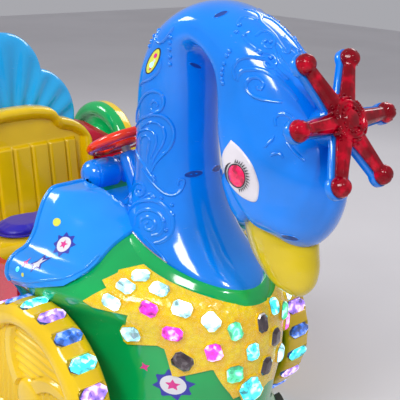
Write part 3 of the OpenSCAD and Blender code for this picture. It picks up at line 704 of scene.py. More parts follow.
def bead_tree(finish: Finish, points: int, height: float) -> GeoTree:
    """A tree that draws a round bead along each curve, as thick as the curve's own radius."""
    tree = GeoTree("bead along a line", {
        "Profile Points": ("NodeSocketInt", points),
        "Bead Height": ("NodeSocketFloat", height),
        "Material": ("NodeSocketMaterial", finish.material),
    })
    ring = tree.add("GeometryNodeCurvePrimitiveCircle", {"mode": "RADIUS"}, {
        "Resolution": tree.given("Profile Points"), "Radius": 1.0})
    squash = tree.add("ShaderNodeCombineXYZ", {}, {0: 1.0, 1: tree.given("Bead Height"), 2: 1.0})
    shaped = tree.add("GeometryNodeTransform", {}, {"Geometry": ring.outputs[0], "Scale": squash.outputs[0]})
    drawn = tree.add("GeometryNodeCurveToMesh", {}, {
        "Curve": tree.given("Geometry"), "Profile Curve": shaped.outputs[0], "Fill Caps": True})
    radius = tree.add("GeometryNodeInputRadius", {}, {})
    if "Scale" in drawn.inputs:
        tree.tree.links.new(radius.outputs[0], drawn.inputs["Scale"])
    return tree.close(drawn.outputs[0])


def stud_tree(finish: Finish, radius: float, height: float, sides: int) -> GeoTree:
    """A tree that sets a domed stud on each point of a mesh, along the point's normal."""
    tree = GeoTree("studs on points", {
        "Head Radius": ("NodeSocketFloat", radius),
        "Head Height": ("NodeSocketFloat", height),
        "Sides": ("NodeSocketInt", sides),
        "Material": ("NodeSocketMaterial", finish.material),
    })
    ball = tree.add("GeometryNodeMeshUVSphere", {}, {"Segments": tree.given("Sides"), "Rings": 6, "Radius": 1.0})
    size = tree.add("ShaderNodeCombineXYZ", {}, {
        0: tree.given("Head Radius"), 1: tree.given("Head Radius"), 2: tree.given("Head Height")})
    stud = tree.add("GeometryNodeTransform", {}, {"Geometry": ball.outputs[0], "Scale": size.outputs[0]})
    normal = tree.add("GeometryNodeInputNamedAttribute", {"data_type": "FLOAT_VECTOR"}, {"Name": "aim"})
    turn = tree.add("FunctionNodeAlignRotationToVector", {"axis": "Z"}, {"Vector": normal.outputs[0]})
    points = tree.add("GeometryNodeInstanceOnPoints", {}, {
        "Points": tree.given("Geometry"), "Instance": stud.outputs[0], "Rotation": turn.outputs[0]})
    return tree.close(points.outputs[0])


def studs(name: str, places: Sequence[tuple[Sequence[float], Sequence[float]]], finish: Finish,
          radius: float, height: float, sides: int = 12) -> bpy.types.Object:
    """Domed studs at places given with the direction that each faces."""
    mesh = bpy.data.meshes.new("places")
    mesh.from_pydata([tuple(p) for p, _ in places], [], [])
    aim = mesh.attributes.new("aim", "FLOAT_VECTOR", "POINT")
    aim.data.foreach_set("vector", [float(v) for _, d in places for v in d])
    return stud_tree(finish, radius, height, sides).run(linked("places", mesh), name)


def beads(name: str, lines: Sequence[tuple[np.ndarray, Union[float, np.ndarray]]], finish: Finish,
          height: float = 1.0, points: int = 10) -> bpy.types.Object:
    """Beads along lines, each given by its points and one radius or a radius at each of them."""
    curve = bpy.data.curves.new("lines", "CURVE")
    curve.dimensions = "3D"
    for line, radii in lines:
        spline = curve.splines.new("POLY")
        spline.points.add(len(line) - 1)
        spline.points.foreach_set("co", np.column_stack([line, np.ones(len(line))]).ravel())
        spline.points.foreach_set("radius", np.broadcast_to(radii, len(line)).astype(float).ravel())
    return bead_tree(finish, points, height).run(linked("lines", curve), name)


# --------------------------------------------------------------------------- the car's forms
COLUMN_TOP = (-12.0, 0.0, 762.0)
COLUMN_LEAN = 30.0


def on_column(points: np.ndarray) -> np.ndarray:
    """Carry points in mm, with z up along the steering column, into the car."""
    a = math.radians(-COLUMN_LEAN)
    turn = np.array([[math.cos(a), 0, math.sin(a)], [0, 1, 0], [-math.sin(a), 0, math.cos(a)]])
    return (points @ turn.T + np.array(COLUMN_TOP)) * MM


@dataclass(frozen=True)
class BodyForm:
    """The front body's form: level sections, each a half oval nose on a straight rear.

    A row holds a section's height, half width, nose and squareness. From the crease on, the rows
    start a new soft curve, and above the shoulder the top dips between two rails for the roll.
    """

    rear_x: float = -30.0
    rows: tuple = (
        (70, 250, 458, 3), (115, 264, 480, 3), (150, 268, 474, 2.6), (200, 271, 462, 2.05), (260, 274, 468, 1.95),
        (330, 276, 476, 1.92), (385, 276, 479, 1.92), (415, 281, 480, 1.88), (442, 294, 478, 1.8), (465, 310, 474, 1.73),
        (485, 320, 467, 1.68), (500, 320, 457, 1.66), (517, 309, 438, 1.69), (529, 291, 412, 1.76), (540, 265, 385, 1.9),
        (570, 243, 290, 2), (600, 232, 200, 2), (625, 222, 150, 2), (645, 211, 100, 2),
        (667, 190, 55, 2), (683, 160, 22, 2), (688, 120, 5, 2),
    )
    crease: int = 8
    steps: int = 6
    top_z: float = 668.0
    dip_z: float = 632.0
    soft: float = 3.0
    shoulder_z: float = 500.0
    dip_half: float = 78.0
    dip_run: float = 30.0
    dip_from: float = 600.0

    def grown(self, grow: float) -> np.ndarray:
        """Soft rows of the form grown outwards."""
        parts = (self.rows[:self.crease], self.rows[self.crease:])
        rows = np.vstack([soft_rows(part, self.steps) for part in parts])
        rows[:, 0] += np.where(rows[:, 0] > self.shoulder_z, grow, 0)
        rows[:, 1:3] += grow
        return rows

    def crowned(self, grow: float) -> np.ndarray:
        """The grown rows with flat rows across the top."""
        rows = self.grown(grow)
        z, w, nose, square = rows[-1]
        shares = (0.92, 0.84, 0.76, 0.68, 0.5, 0.3, 0.05)
        over = [(z + 0.05 * k, w * share, nose * share, square) for k, share in enumerate(shares, 1)]
        return np.vstack([rows, over])

    def rings(self, grow: float, rear_x: Optional[float] = None) -> np.ndarray:
        """The form's level rings from foot to top, in metres."""
        rear = self.rear_x if rear_x is None else rear_x
        return np.array([self.dipped(self.ring(row, rear), grow) for row in self.crowned(grow)]) * MM

    def solid(self, grow: float, rear_x: Optional[float] = None) -> bpy.types.Object:
        """A closed solid of the form."""
        return Shape().skin(self.rings(grow, rear_x)).build("form", [Finish.GREEN])

    def dipped(self, ring: np.ndarray, grow: float) -> np.ndarray:
        """Lower the form's top between the shoulders, where the roll lies."""
        rise = np.clip((np.abs(ring[:, 1]) - self.dip_half) / self.dip_run, 0, 1)
        cap = self.dip_z + (self.top_z - self.dip_z) * rise * rise * (3 - 2 * rise) + grow
        out = ring.copy()
        out[:, 2] = cap - self.soft * np.logaddexp(0, (cap - ring[:, 2]) / self.soft)
        out[:, 2] = np.where(ring[:, 2] < self.dip_from, ring[:, 2], out[:, 2])
        return out

    def ring(self, row: Sequence[float], rear_x: float) -> np.ndarray:
        """One level section as a ring of points."""
        z, w, nose, square = row
        a = np.radians(np.linspace(-90, 90, 65))
        x = nose * np.maximum(np.cos(a), 0) ** (2 / square)
        curve = np.column_stack([x, w * np.sin(a), np.full_like(a, z)])
        side = np.linspace(rear_x, 0, 6)[:-1]
        left = np.column_stack([side, np.full_like(side, -w), np.full_like(side, z)])
        return np.vstack([left, curve, left[::-1] * [1, -1, 1]])

    @staticmethod
    def section(rows: np.ndarray, z: float) -> list[float]:
        """Half width, nose and squareness at a height."""
        return [np.interp(z, rows[:, 0], rows[:, k]) for k in (1, 2, 3)]

    def at(self, x: float, z: float, grow: float) -> tuple[np.ndarray, np.ndarray]:
        """The near side's surface point and outward direction at a place seen from the side.

        Args:
            x: distance ahead of the car's middle, mm.
            z: height, mm.
            grow: distance off the form, mm.

        Returns:
            The point in mm, on the driver's right, and the unit direction.
        """
        rows = self.grown(grow)

        def point(px: float, pz: float) -> np.ndarray:
            w, nose, square = self.section(rows, pz)
            share = min(max(px / nose, 0.0), 1.0)
            return np.array([px, -w * math.sqrt(max(1 - share ** square, 0.0)), pz])
        p = point(x, z)
        out = np.cross(point(x, z + 1) - p, point(x + 1, z) - p)
        out *= -1 if out[1] > 0 else 1
        return p, out / np.linalg.norm(out)

    def facing(self, z: float, bearing: float, grow: float) -> tuple[np.ndarray, np.ndarray, np.ndarray]:
        """Point, outward direction and downhill direction at a height and a bearing from straight ahead."""
        rows = self.grown(grow)

        def point(pz: float, pa: float) -> np.ndarray:
            w, nose, square = self.section(rows, pz)
            return np.array([nose * math.cos(pa) ** (2 / square), -w * math.sin(pa), pz])
        a = math.radians(bearing)
        p = point(z, a)
        up = point(z + 4, a) - p
        aside = point(z, a + 0.02) - p
        out = np.cross(up, aside)
        out /= np.linalg.norm(out)
        if out @ np.array([math.cos(a), -math.sin(a), 0.3]) < 0:
            out = -out
        down = -up / np.linalg.norm(up)
        down -= out * (down @ out)
        return p, out, down / np.linalg.norm(down)


@dataclass(frozen=True)
class SwanForm:
    """The neck and head's form: sections between an outer and an inner point, the inner half squarer.

    A row holds the outer point, the inner point, the half width, the inner half's share of the depth
    and its squareness.
    """

    rows: tuple = (
        (65, 576, 459, 464, 126, 0.5, 2), (37, 627, 439, 527, 127, 0.5, 2), (61, 646, 358, 604, 119, 0.5, 2),
        (79, 686, 311, 674, 108, 0.5, 2), (89, 762, 285, 758, 98, 0.5, 2), (91, 875, 277, 865, 93, 0.5, 2),
        (104, 970, 277, 950, 91, 0.5, 2.2), (162, 1061, 281, 1008, 89, 0.5, 2.8), (264, 1119, 300, 1034, 88, 0.5, 4),
        (365, 1121, 338, 1026, 88, 0.42, 6), (475, 1073, 371, 990, 88, 0.36, 7), (548, 999, 383, 932, 89, 0.3, 7),
        (598, 916, 388, 880, 92, 0.28, 7), (644, 838, 403, 822, 93, 0.28, 7), (650, 777, 430, 758, 88, 0.3, 7),
        (633, 721, 480, 708, 82, 0.36, 6), (606, 680, 505, 684, 51, 0.5, 2.5), (575, 660, 531, 663, 21, 0.5, 2),
    )
    steps: int = 12

    def ring(self, row: Sequence[float], angles: np.ndarray, grow: float = 0.0) -> np.ndarray:
        """Points of one section at the given angles; 0 faces inwards, 180 outwards, 270 the driver's right."""
        outer, inner = np.array(row[0:2]), np.array(row[2:4])
        depth = float(np.linalg.norm(inner - outer))
        along = (inner - outer) / depth
        inward = depth * row[5]
        middle = outer + along * (depth - inward)
        c, s = np.cos(angles), np.sin(angles)
        power = np.where(c > 1e-9, 2 / row[6], 1.0)
        d = np.sign(c) * np.abs(c) ** power * (np.where(c > 0, inward, depth - inward) + grow)
        w = np.sign(s) * np.abs(s) ** power * (row[4] + grow)
        return np.stack([middle[0] + along[0] * d, w, middle[1] + along[1] * d], -1)


BODY = BodyForm()
SWAN = SwanForm()

# Scrolls of the relief as drawn over the view: six units to a pixel, from the pixel column 120 on.
# Each has its bead width in mm first.
SCROLLS = (
    (4.6, ((98, 740), (106, 660), (138, 585), (185, 550), (236, 556), (263, 596), (252, 648), (216, 672), (186, 655),
           (184, 622), (208, 606), (228, 622), (220, 640))),
    (5.0, ((88, 800), (104, 745), (140, 708), (200, 690), (262, 700), (306, 742), (324, 800), (312, 856), (284, 902),
           (246, 938), (212, 978), (190, 1020), (180, 1052))),
    (4.2, ((128, 770), (165, 738), (215, 734), (254, 762), (270, 808), (256, 862), (228, 908), (204, 950), (190, 990))),
    (4.2, ((104, 830), (116, 792), (152, 776), (190, 784), (216, 818), (214, 866), (198, 910), (184, 950))),
    (3.8, ((118, 860), (132, 822), (158, 814), (176, 838), (172, 880), (164, 930), (166, 980))),
    (4.4, ((84, 842), (96, 900), (118, 950), (146, 990), (170, 1030), (196, 1066), (214, 1090))),
    (4.4, ((132, 1010), (168, 1062), (222, 1124), (268, 1160), (318, 1170), (356, 1150), (378, 1114), (384, 1084),
           (366, 1074), (348, 1092), (352, 1112))),
    (4.4, ((64, 1206), (66, 1150), (88, 1108), (124, 1100), (146, 1130), (136, 1166), (108, 1172), (96, 1148),
           (110, 1132), (124, 1142))),
    (4.0, ((146, 1180), (176, 1164), (204, 1176), (198, 1200), (176, 1200))),
    (5.4, ((42, 1300), (66, 1244), (124, 1206), (196, 1198), (262, 1228), (308, 1288), (320, 1356), (300, 1414),
           (256, 1450), (206, 1462))),
    (4.8, ((86, 1352), (96, 1296), (142, 1262), (202, 1264), (246, 1300), (258, 1354), (236, 1400), (190, 1414))),
    (4.4, ((116, 1366), (124, 1326), (160, 1304), (198, 1318), (208, 1354), (184, 1380), (154, 1372), (150, 1346),
           (170, 1336))),
    (4.0, ((150, 1424), (212, 1490), (270, 1560), (300, 1640))),
    (4.2, ((122, 516), (140, 494), (186, 472), (226, 434), (246, 384), (246, 344))),
    (4.0, ((322, 158), (296, 204), (264, 244), (238, 256), (214, 240), (222, 204))),
    (3.4, ((186, 286), (196, 246), (222, 206), (238, 176))),
    (4.6, ((690, 476), (680, 424), (700, 372), (744, 346), (800, 344), (862, 356), (900, 374), (944, 420), (1010, 478))),
    (4.8, ((704, 486), (712, 446), (742, 420), (792, 414), (850, 420), (910, 450), (966, 494), (1020, 548), (1062, 602))),
    (4.6, ((972, 612), (906, 604), (844, 592), (792, 570), (760, 532), (762, 492), (794, 466), (838, 470), (862, 502),
           (850, 534), (824, 530), (822, 506))),
    (4.2, ((704, 152), (720, 112), (762, 100), (818, 118), (842, 112), (832, 86), (796, 66), (742, 54))),
    (4.2, ((778, 180), (742, 206), (762, 250), (804, 282), (846, 308), (900, 320), (936, 356), (922, 396), (886, 402),
           (868, 372), (890, 348))),
    (4.0, ((812, 216), (856, 184), (902, 196), (932, 234), (916, 278), (880, 286), (858, 262), (872, 238))),
    (4.4, ((916, 262), (944, 340), (992, 402), (1044, 446), (1098, 474))),
    (4.0, ((952, 320), (984, 376), (1030, 418), (1082, 444))),
    (5.0, ((846, 96), (902, 114), (952, 150), (1002, 200), (1046, 248), (1080, 300))),
    (3.8, ((960, 214), (1000, 236), (1024, 276), (1010, 316), (978, 310), (976, 282))),
    (3.8, ((1022, 300), (1056, 332), (1072, 374), (1086, 420))),
    (4.0, ((936, 754), (932, 712), (956, 686), (1002, 690), (1036, 722), (1030, 760), (994, 782), (982, 812))),
    (3.8, ((998, 850), (1036, 896), (1070, 930), (1108, 966))),
    (3.6, ((866, 884), (890, 858), (914, 838), (924, 812))),
    (3.6, ((902, 936), (934, 918), (966, 926), (978, 950))),
)
DROPS = (
    (304, 222), (299, 254), (297, 294), (300, 340), (300, 386), (232, 182), (206, 214), (190, 246), (178, 276),
    (658, 306), (640, 334), (624, 380), (614, 412), (612, 442), (610, 474), (616, 498), (700, 190), (716, 150),
    (744, 214), (204, 1060), (206, 1080), (190, 1180), (250, 1186), (312, 1230), (318, 1290), (276, 1382), (262, 1330),
    (66, 1214), (58, 1236), (870, 246), (902, 252), (906, 344), (842, 318), (820, 300),
)
# Moulding slots: the two ends and the half height, in the same units.
SLOTS = (
    ((560, 104), (650, 66), 13), ((416, 378), (492, 410), 12), ((380, 1054), (504, 1034), 21), ((962, 1414), (1076, 1440), 14),
)
# Layers of the neck's small print: middle, half length, half width, finish and height above the surface in mm.
BADGE = (
    ((199, 366), (38, -78), 30, 0, 0.25), ((199, 366), (33, -71), 24, 1, 0.4), ((214, 334), (7, -14), 9, 3, 0.55),
    ((190, 388), (8, -16), 10, 2, 0.55), ((206, 366), (5, -10), 6, 4, 0.55), ((181, 414), (4, -8), 5, 3, 0.55),
)


# --------------------------------------------------------------------------- neck, head, beak, eyes
@dataclass(frozen=True)
class Bird:
    """Neck, head, relief, beak, eyes and moulding slots, in mm."""

    eye_middle: tuple[float, float] = (462.0, 802.0)
    eye_outline: tuple = (
        (440, 868), (467, 856), (495, 834), (511, 807), (515, 787), (508, 760), (481, 758), (456, 767),
        (432, 785), (418, 810), (420, 838),
    )
    gem_r: float = 22.5
    ring_w: float = 2.4
    lash_r: float = 26.5
    brow: tuple = (28.0, 33.5, 120, 232)
    sheet: float = 6.0
    sheet_x: float = 120.0
    boldness: float = 1.3
    beak_rows: tuple = (
        (488, 730, 76, 56), (499, 700, 82, 60), (508, 672, 84, 62), (517, 642, 81, 60), (527, 619, 75, 57),
        (536, 599, 66, 51), (545, 580, 53, 43), (552, 565, 37, 31), (557, 555, 21, 18), (559, 549, 8, 7),
    )
    cheek_outline: tuple = (
        (404, 800), (392, 778), (404, 748), (424, 716), (444, 698), (455, 694), (463, 698), (476, 715), (486, 722), (510, 735),
        (535, 760), (520, 800), (450, 815),
    )

    def shell(self) -> None:
        """Neck and head as one smooth sweep."""
        rings = np.array([SWAN.ring(row, around(104)) for row in soft_rows(SWAN.rows, SWAN.steps)]) * MM
        piece = Shape().skin(rings).build("neck_and_head", [Finish.BLUE], 48.0)
        place(piece, "blue_plastic", replaces=["neck", "head"])

    @cached_property
    def tree(self) -> BVHTree:
        """The bird's surface as a search tree."""
        graph = bpy.context.evaluated_depsgraph_get()
        return BVHTree.FromObject(bpy.data.objects["neck_and_head"], graph)

    def sight(self, x: float, y: float) -> Optional[tuple[Vector, Vector]]:
        """Where the line of sight through a drawn point meets the bird, with the normal there."""
        aim = VIEW.aim(self.sheet_x + x / self.sheet, y / self.sheet)
        hit, normal, _, _ = self.tree.ray_cast(Vector(VIEW.place), aim)
        return (hit, normal) if hit else None

    def traced(self, lines: Sequence[tuple[float, Sequence[Pair]]]) -> list:
        """Cast drawn lines from the view onto the bird and mirror them.

        Args:
            lines: a bead width in mm and drawn points each.

        Returns:
            Lines with the radius at each point, for the bead tree.
        """
        out = []
        for width, drawn in lines:
            hits = [self.sight(x, y) for x, y in resample(soft_rows(drawn, 8), 7.0)]
            hits = [h for h in hits if h]
            if len(hits) < 4:
                continue
            k = np.linspace(0, 1, len(hits))
            swell = np.sqrt(np.clip(np.sin(math.pi * (0.04 + 0.92 * k)), 0, 1))
            radii = width * self.boldness * MM * (0.4 + 0.6 * swell)
            line = np.array([np.array(p) - np.array(n) * r * 0.35 for (p, n), r in zip(hits, radii)])
            line[1:-1] = (line[:-2] + 2 * line[1:-1] + line[2:]) / 4
            out += [(line, radii), (line * [1, -1, 1], radii)]
        return out

    def oval(self, mid: np.ndarray, long: np.ndarray, half: float, layers: Sequence[Pair],
             n: int) -> Optional[np.ndarray]:
        """Cast a drawn oval onto the bird as rings, one inside the other.

        Args:
            mid: the oval's middle.
            long: the way from there to one end.
            half: half the width.
            layers: each ring's scale and height above the surface in mm.
            n: points in a ring.

        Returns:
            The rings in metres, or nothing where a line of sight misses the bird.
        """
        short = np.array([-long[1], long[0]]) / np.linalg.norm(long) * half
        rings = []
        for scale, lift in layers:
            spots = [self.sight(*(mid + scale * (math.cos(a) * long + math.sin(a) * short))) for a in around(n)]
            if any(spot is None for spot in spots):
                return None
            rings.append([np.array(p + normal * lift * MM) for p, normal in spots])
        return np.array(rings)

    def relief(self) -> None:
        """The raised scrolls on the neck's sides and over the head."""
        place(beads("raised_scrolls", self.traced(SCROLLS), Finish.BLUE, 0.8, 10), "blue_plastic")

    def drops(self) -> None:
        """Rows of small raised drops beside the scrolls."""
        places = []
        for found in (self.sight(x, y) for x, y in DROPS):
            if found:
                for flip in (Vector((1, 1, 1)), Vector((1, -1, 1))):
                    places.append((found[0] * flip, found[1] * flip))
        place(studs("raised_drops", places, Finish.BLUE, 0.0050, 0.0042, 12), "blue_plastic")

    def slots(self) -> None:
        """Oval moulding slots: a floor painted dark as the shade of a recess, in a thin rolled edge."""
        layers = ((1.1, -1.0), (1.04, 0.9), (0.96, 1.0), (0.88, 0.35), (0.5, 0.15), (0.03, 0.1))
        floor = 3
        shape = Shape()
        for start, end, half in SLOTS:
            a, b = np.array(start), np.array(end)
            rings = self.oval((a + b) / 2, (b - a) / 2, half, layers, 30)
            if rings is not None:
                shape.skin(rings[:floor + 1], 0, (False, False))
                # The floor's dark finish is painted shade; the floor itself lies just above the surface.
                shape.skin(rings[floor:], 1, (False, True))
        finishes = [Finish.BLUE, Finish.SOCKET]
        place(shape.mirrored().build("moulding_slots", finishes, outward=False), "blue_plastic")

    def badge(self) -> None:
        """A small oval print high on the neck: border, ground and plain dots."""
        shape = Shape()
        for mid, long, half, mark, lift in BADGE:
            layers = [(scale, lift) for scale in (1.0, 0.7, 0.4, 0.03)]
            rings = self.oval(np.array(mid), np.array(long), half, layers, 36)
            if rings is not None:
                shape.skin(rings, mark, (False, True))
        # The cyan dot is in lens glass and glows: painted glow on a print.
        finishes = [Finish.INK, Finish.PRINT_YELLOW, Finish.CYAN_LAMP, Finish.PRINT_PINK, Finish.PAPER]
        place(shape.mirrored().build("neck_print", finishes, outward=False), "blue_plastic")

    def beak(self) -> None:
        """The beak, with a parting line round it between its upper and lower halves."""
        a = around(72)
        rings = []
        for x, z, d, w in soft_rows(self.beak_rows, 10):
            line = 1 - 0.016 * np.exp(-((np.cos(a) * d + 8) / 5.0) ** 2) * np.abs(np.sin(a))
            rings.append(np.column_stack([x + d * np.cos(a), w * np.sin(a) * line, np.full_like(a, z)]))
        piece = Shape().skin(np.array(rings) * MM).build("beak_shell_piece", [Finish.BEAK], 60.0)
        place(piece, "yellow_plastic", replaces=["beak"])

    def cheeks(self) -> None:
        """The hood behind the beak's corners, where both cheeks come down to a point."""
        outline = soft_rows([*self.cheek_outline, self.cheek_outline[0]], 5)[:-1]
        middle = outline.mean(axis=0)
        half = [(80, 0.5), (78, 0.72), (73, 0.88), (66, 0.97), (56, 1.0)]
        rings = []
        for y, k in [*((-y, k) for y, k in half), (0, 1.0), *half[::-1]]:
            flat = middle + (outline - middle) * k
            rings.append(np.column_stack([flat[:, 0], np.full(len(flat), y), flat[:, 1]]))
        piece = Shape().skin(np.array(rings) * MM).build("cheek_hood", [Finish.BLUE], 55.0)
        place(piece, "blue_plastic")

    def eyes(self) -> None:
        """White almonds with cut red stones, a dark ring, a brow and lashes on each side of the head."""
        middle = np.array(self.eye_middle)

        def side(x: float, z: float, lift: float) -> np.ndarray:
            """A place on the near side of the head, lift mm above its surface."""
            hit, normal, _, _ = self.tree.ray_cast(Vector((x * MM, -0.3, z * MM)), Vector((0, 1, 0)))
            if hit is None:
                return np.array([x * MM, -0.088 - lift * MM, z * MM])
            return np.array(hit + normal * lift * MM)

        def polar(r: float, t: float, lift: float) -> np.ndarray:
            """A place at a distance and an angle from the eye's middle."""
            return side(middle[0] + r * math.cos(t), middle[1] + r * math.sin(t), lift)

        outline = soft_rows([*self.eye_outline, self.eye_outline[0]], 6)[:-1]
        layers = ((1.03, -1.5), (1.02, 1.2), (0.98, 2.6), (0.9, 3.2), (0.7, 3.8), (0.45, 4.2), (0.2, 4.4),
                  (0.02, 4.4))
        rings = [[side(*(middle + (p - middle) * k), lift) for p in outline] for k, lift in layers]
        white = Shape().skin(np.array(rings), 0, (False, True)).mirrored()
        place(white.build("eye_whites", [Finish.EYE_WHITE], 60.0, outward=False), "eye_white",
              replaces=["eyes"])
        facets = ((1.0, 3.2, 0), (1.0, 5.4, 0), (0.8, 8.6, 0.26), (0.5, 10.6, 0), (0.16, 11.4, 0.26))
        rings = [[polar(self.gem_r * k, a + twist, lift) for a in around(12)] for k, lift, twist in facets]
        gem = Shape().skin(np.array(rings), 0, (False, True)).mirrored()
        # The stones' glow is painted light.
        place(gem.build("eye_stones", [Finish.EYE_GEM], 8.0, outward=False), "eye_white")
        self.lines(polar)

    def lines(self, polar: Callable[[float, float, float], np.ndarray]) -> None:
        """The ring round the stone, the brow and the lashes, drawn with the eye's polar places."""
        ink = Shape()
        for r0, r1, a0, a1 in ((self.gem_r - 0.5, self.gem_r + self.ring_w, 0, 360), self.brow):
            a = np.radians(np.linspace(a0, a1, 60))
            taper = np.sin(np.linspace(0, math.pi, 60)) if a1 < 360 else np.ones(60)
            inner = [polar(r0, t, 4.9) for t in a]
            outer = [polar(r0 + (r1 - r0) * f, t, 4.9) for t, f in zip(a, taper)]
            ink.skin(np.array([inner, outer]), 0, (False, False), loop=False)
        for t in np.radians(np.linspace(-72, 98, 17)):
            long = 10.5 if abs(math.degrees(t) - 20) < 50 else 8.0
            tip = polar(self.lash_r + long, t - 0.06, 5.2)
            ink.add([*(polar(self.lash_r, t + w, 5.2) for w in (-0.075, 0.075)), tip], [(0, 1, 2)])
        place(ink.mirrored().build("eye_lashes", [Finish.INK], outward=False), "eye_white")

    def make(self) -> None:
        """Build everything of the bird."""
        self.shell()
        self.relief()
        self.drops()
        self.slots()
        self.badge()
        self.beak()
        self.cheeks()
        self.eyes()


# --------------------------------------------------------------------------- crown
@dataclass(frozen=True)
class Crown:
    """Six tapered resin arms with balls, a beaded hub and the blue star behind them, in mm."""

    middle: Pair = (640.0, 933.0)
    tilt: float = 26.0
    arms: tuple = (90, 150, 210, 270, 330, 390)
    arm: float = 133.0
    ball: float = 20.0
    hub: float = 42.0
    bead: float = 2.6

    def frame(self) -> Matrix:
        """The crown's own place in the car."""
        turn = Matrix.Rotation(math.radians(90 - self.tilt), 4, "Y")
        return Matrix.Translation((self.middle[0] * MM, 0, self.middle[1] * MM)) @ turn

    def put(self, rings: np.ndarray) -> np.ndarray:
        """Carry points in the crown's millimetres into the car."""
        m = np.array(self.frame())
        return rings * MM @ m[:3, :3].T + m[:3, 3]

    def arm_rings(self, degrees: float) -> np.ndarray:
        """One arm with its ball: ring after ring outwards."""
        stations = []
        for k in np.linspace(0, 1, 16):
            r = self.hub - 10 + (self.arm - self.hub - 6) * k
            stations.append((r, 18.5 - 6.0 * k ** 0.8, 15.5 - 3.5 * k))
        for b in np.linspace(-0.62, 1.0, 13):
            a = math.asin(b)
            w = max(self.ball * math.cos(a), 0.3)
            stations.append((self.arm + self.ball * math.sin(a), w, w))
        c = around(28)
        ridge = 1 + 0.05 * np.cos(6 * c)
        along, side = compass(degrees)
        return np.array([
            along * r + (w * ridge * np.cos(c))[:, None] * side + np.outer(h * ridge * np.sin(c), [0, 0, 1])
            for r, w, h in stations
        ])

    def star(self) -> None:
        """The resin star: arms and hub."""
        shape = Shape()
        for degrees in self.arms:
            shape.skin(self.put(self.arm_rings(degrees)))
        hub = [(2, -19), (38, -19.5), (41, -15), (42, 0), (41, 14), (36, 19), (33, 20), (31, 17), (20, 16),
               (18.5, 17), (17, 20), (10, 21), (2, 21.3)]
        shape.skin(self.put(lathe(hub, 48)))
        place(shape.build("crown_star", [Finish.CROWN], 50.0), "crown_red", replaces=["crown"])

    def bead_rows(self) -> None:
        """Small beads round the hub's edge, at the arms' roots, round the hub's boss and on the balls."""
        spots = [(41.0, a - 30 + o, 17.0) for a in self.arms for o in (-16, -9.6, -3.2, 3.2, 9.6, 16)]
        spots += [(44.0 + 5 * j, a + side * (24 - 3.5 * j), 8.0)
                  for a in self.arms for side in (-1, 1) for j in range(2)]
        spots += [(25.5, a, 17.6) for a in range(0, 360, 20)]
        middles = [compass(a)[0] * r + [0, 0, h] for r, a, h in spots]
        for degrees in self.arms:
            along, side = compass(degrees)
            for lean, count in ((35, 6), (70, 9)):
                q = math.radians(lean)
                for b in around(count):
                    around_arm = math.cos(b) * along + math.sin(b) * side
                    d = np.array([0, 0, math.cos(q)]) + math.sin(q) * around_arm
                    middles.append(along * self.arm + d * (self.ball - 2.0))
        normal = np.array(self.frame())[:3, 2]
        places = [(p, normal) for p in self.put(np.array(middles))]
        place(studs("crown_beads", places, Finish.CROWN, self.bead * MM, self.bead * MM, 10), "crown_red")

    def backing(self) -> None:
        """The blue star close behind the resin one, with the stalk that carries it."""
        reach, half = self.ball + 2.2, 21
        round_end = [compass(a)[0] * reach + [self.arm, 0, 0] for a in np.linspace(-130, 130, 27)]
        outline = [(20, -half), (self.hub, -half), *((u, v) for u, v, _ in round_end),
                   (self.hub, half), (20, half)]
        shape = Shape()
        for degrees in self.arms:
            along, side = compass(degrees)
            flat = np.array([u * along + v * side for u, v in outline])
            middle = flat.mean(0)
            rings = [middle + (flat - middle) * scale + [0, 0, h]
                     for scale, h in ((0.96, -19), (1.0, -17.5), (1.0, -7.5), (0.97, -6))]
            shape.skin(self.put(np.array(rings)))
        stalk = [(0.5, -96), (39, -96), (39.5, -70), (40, -22), (46, -20.5), (46, -10), (0.5, -10)]
        shape.skin(self.put(lathe(stalk, 48)))
        place(shape.build("crown_backing", [Finish.BLUE], 40.0), "blue_plastic", replaces=["crown_base"])

    def make(self) -> None:
        """Build everything of the crown."""
        self.star()
        self.bead_rows()
        self.backing()


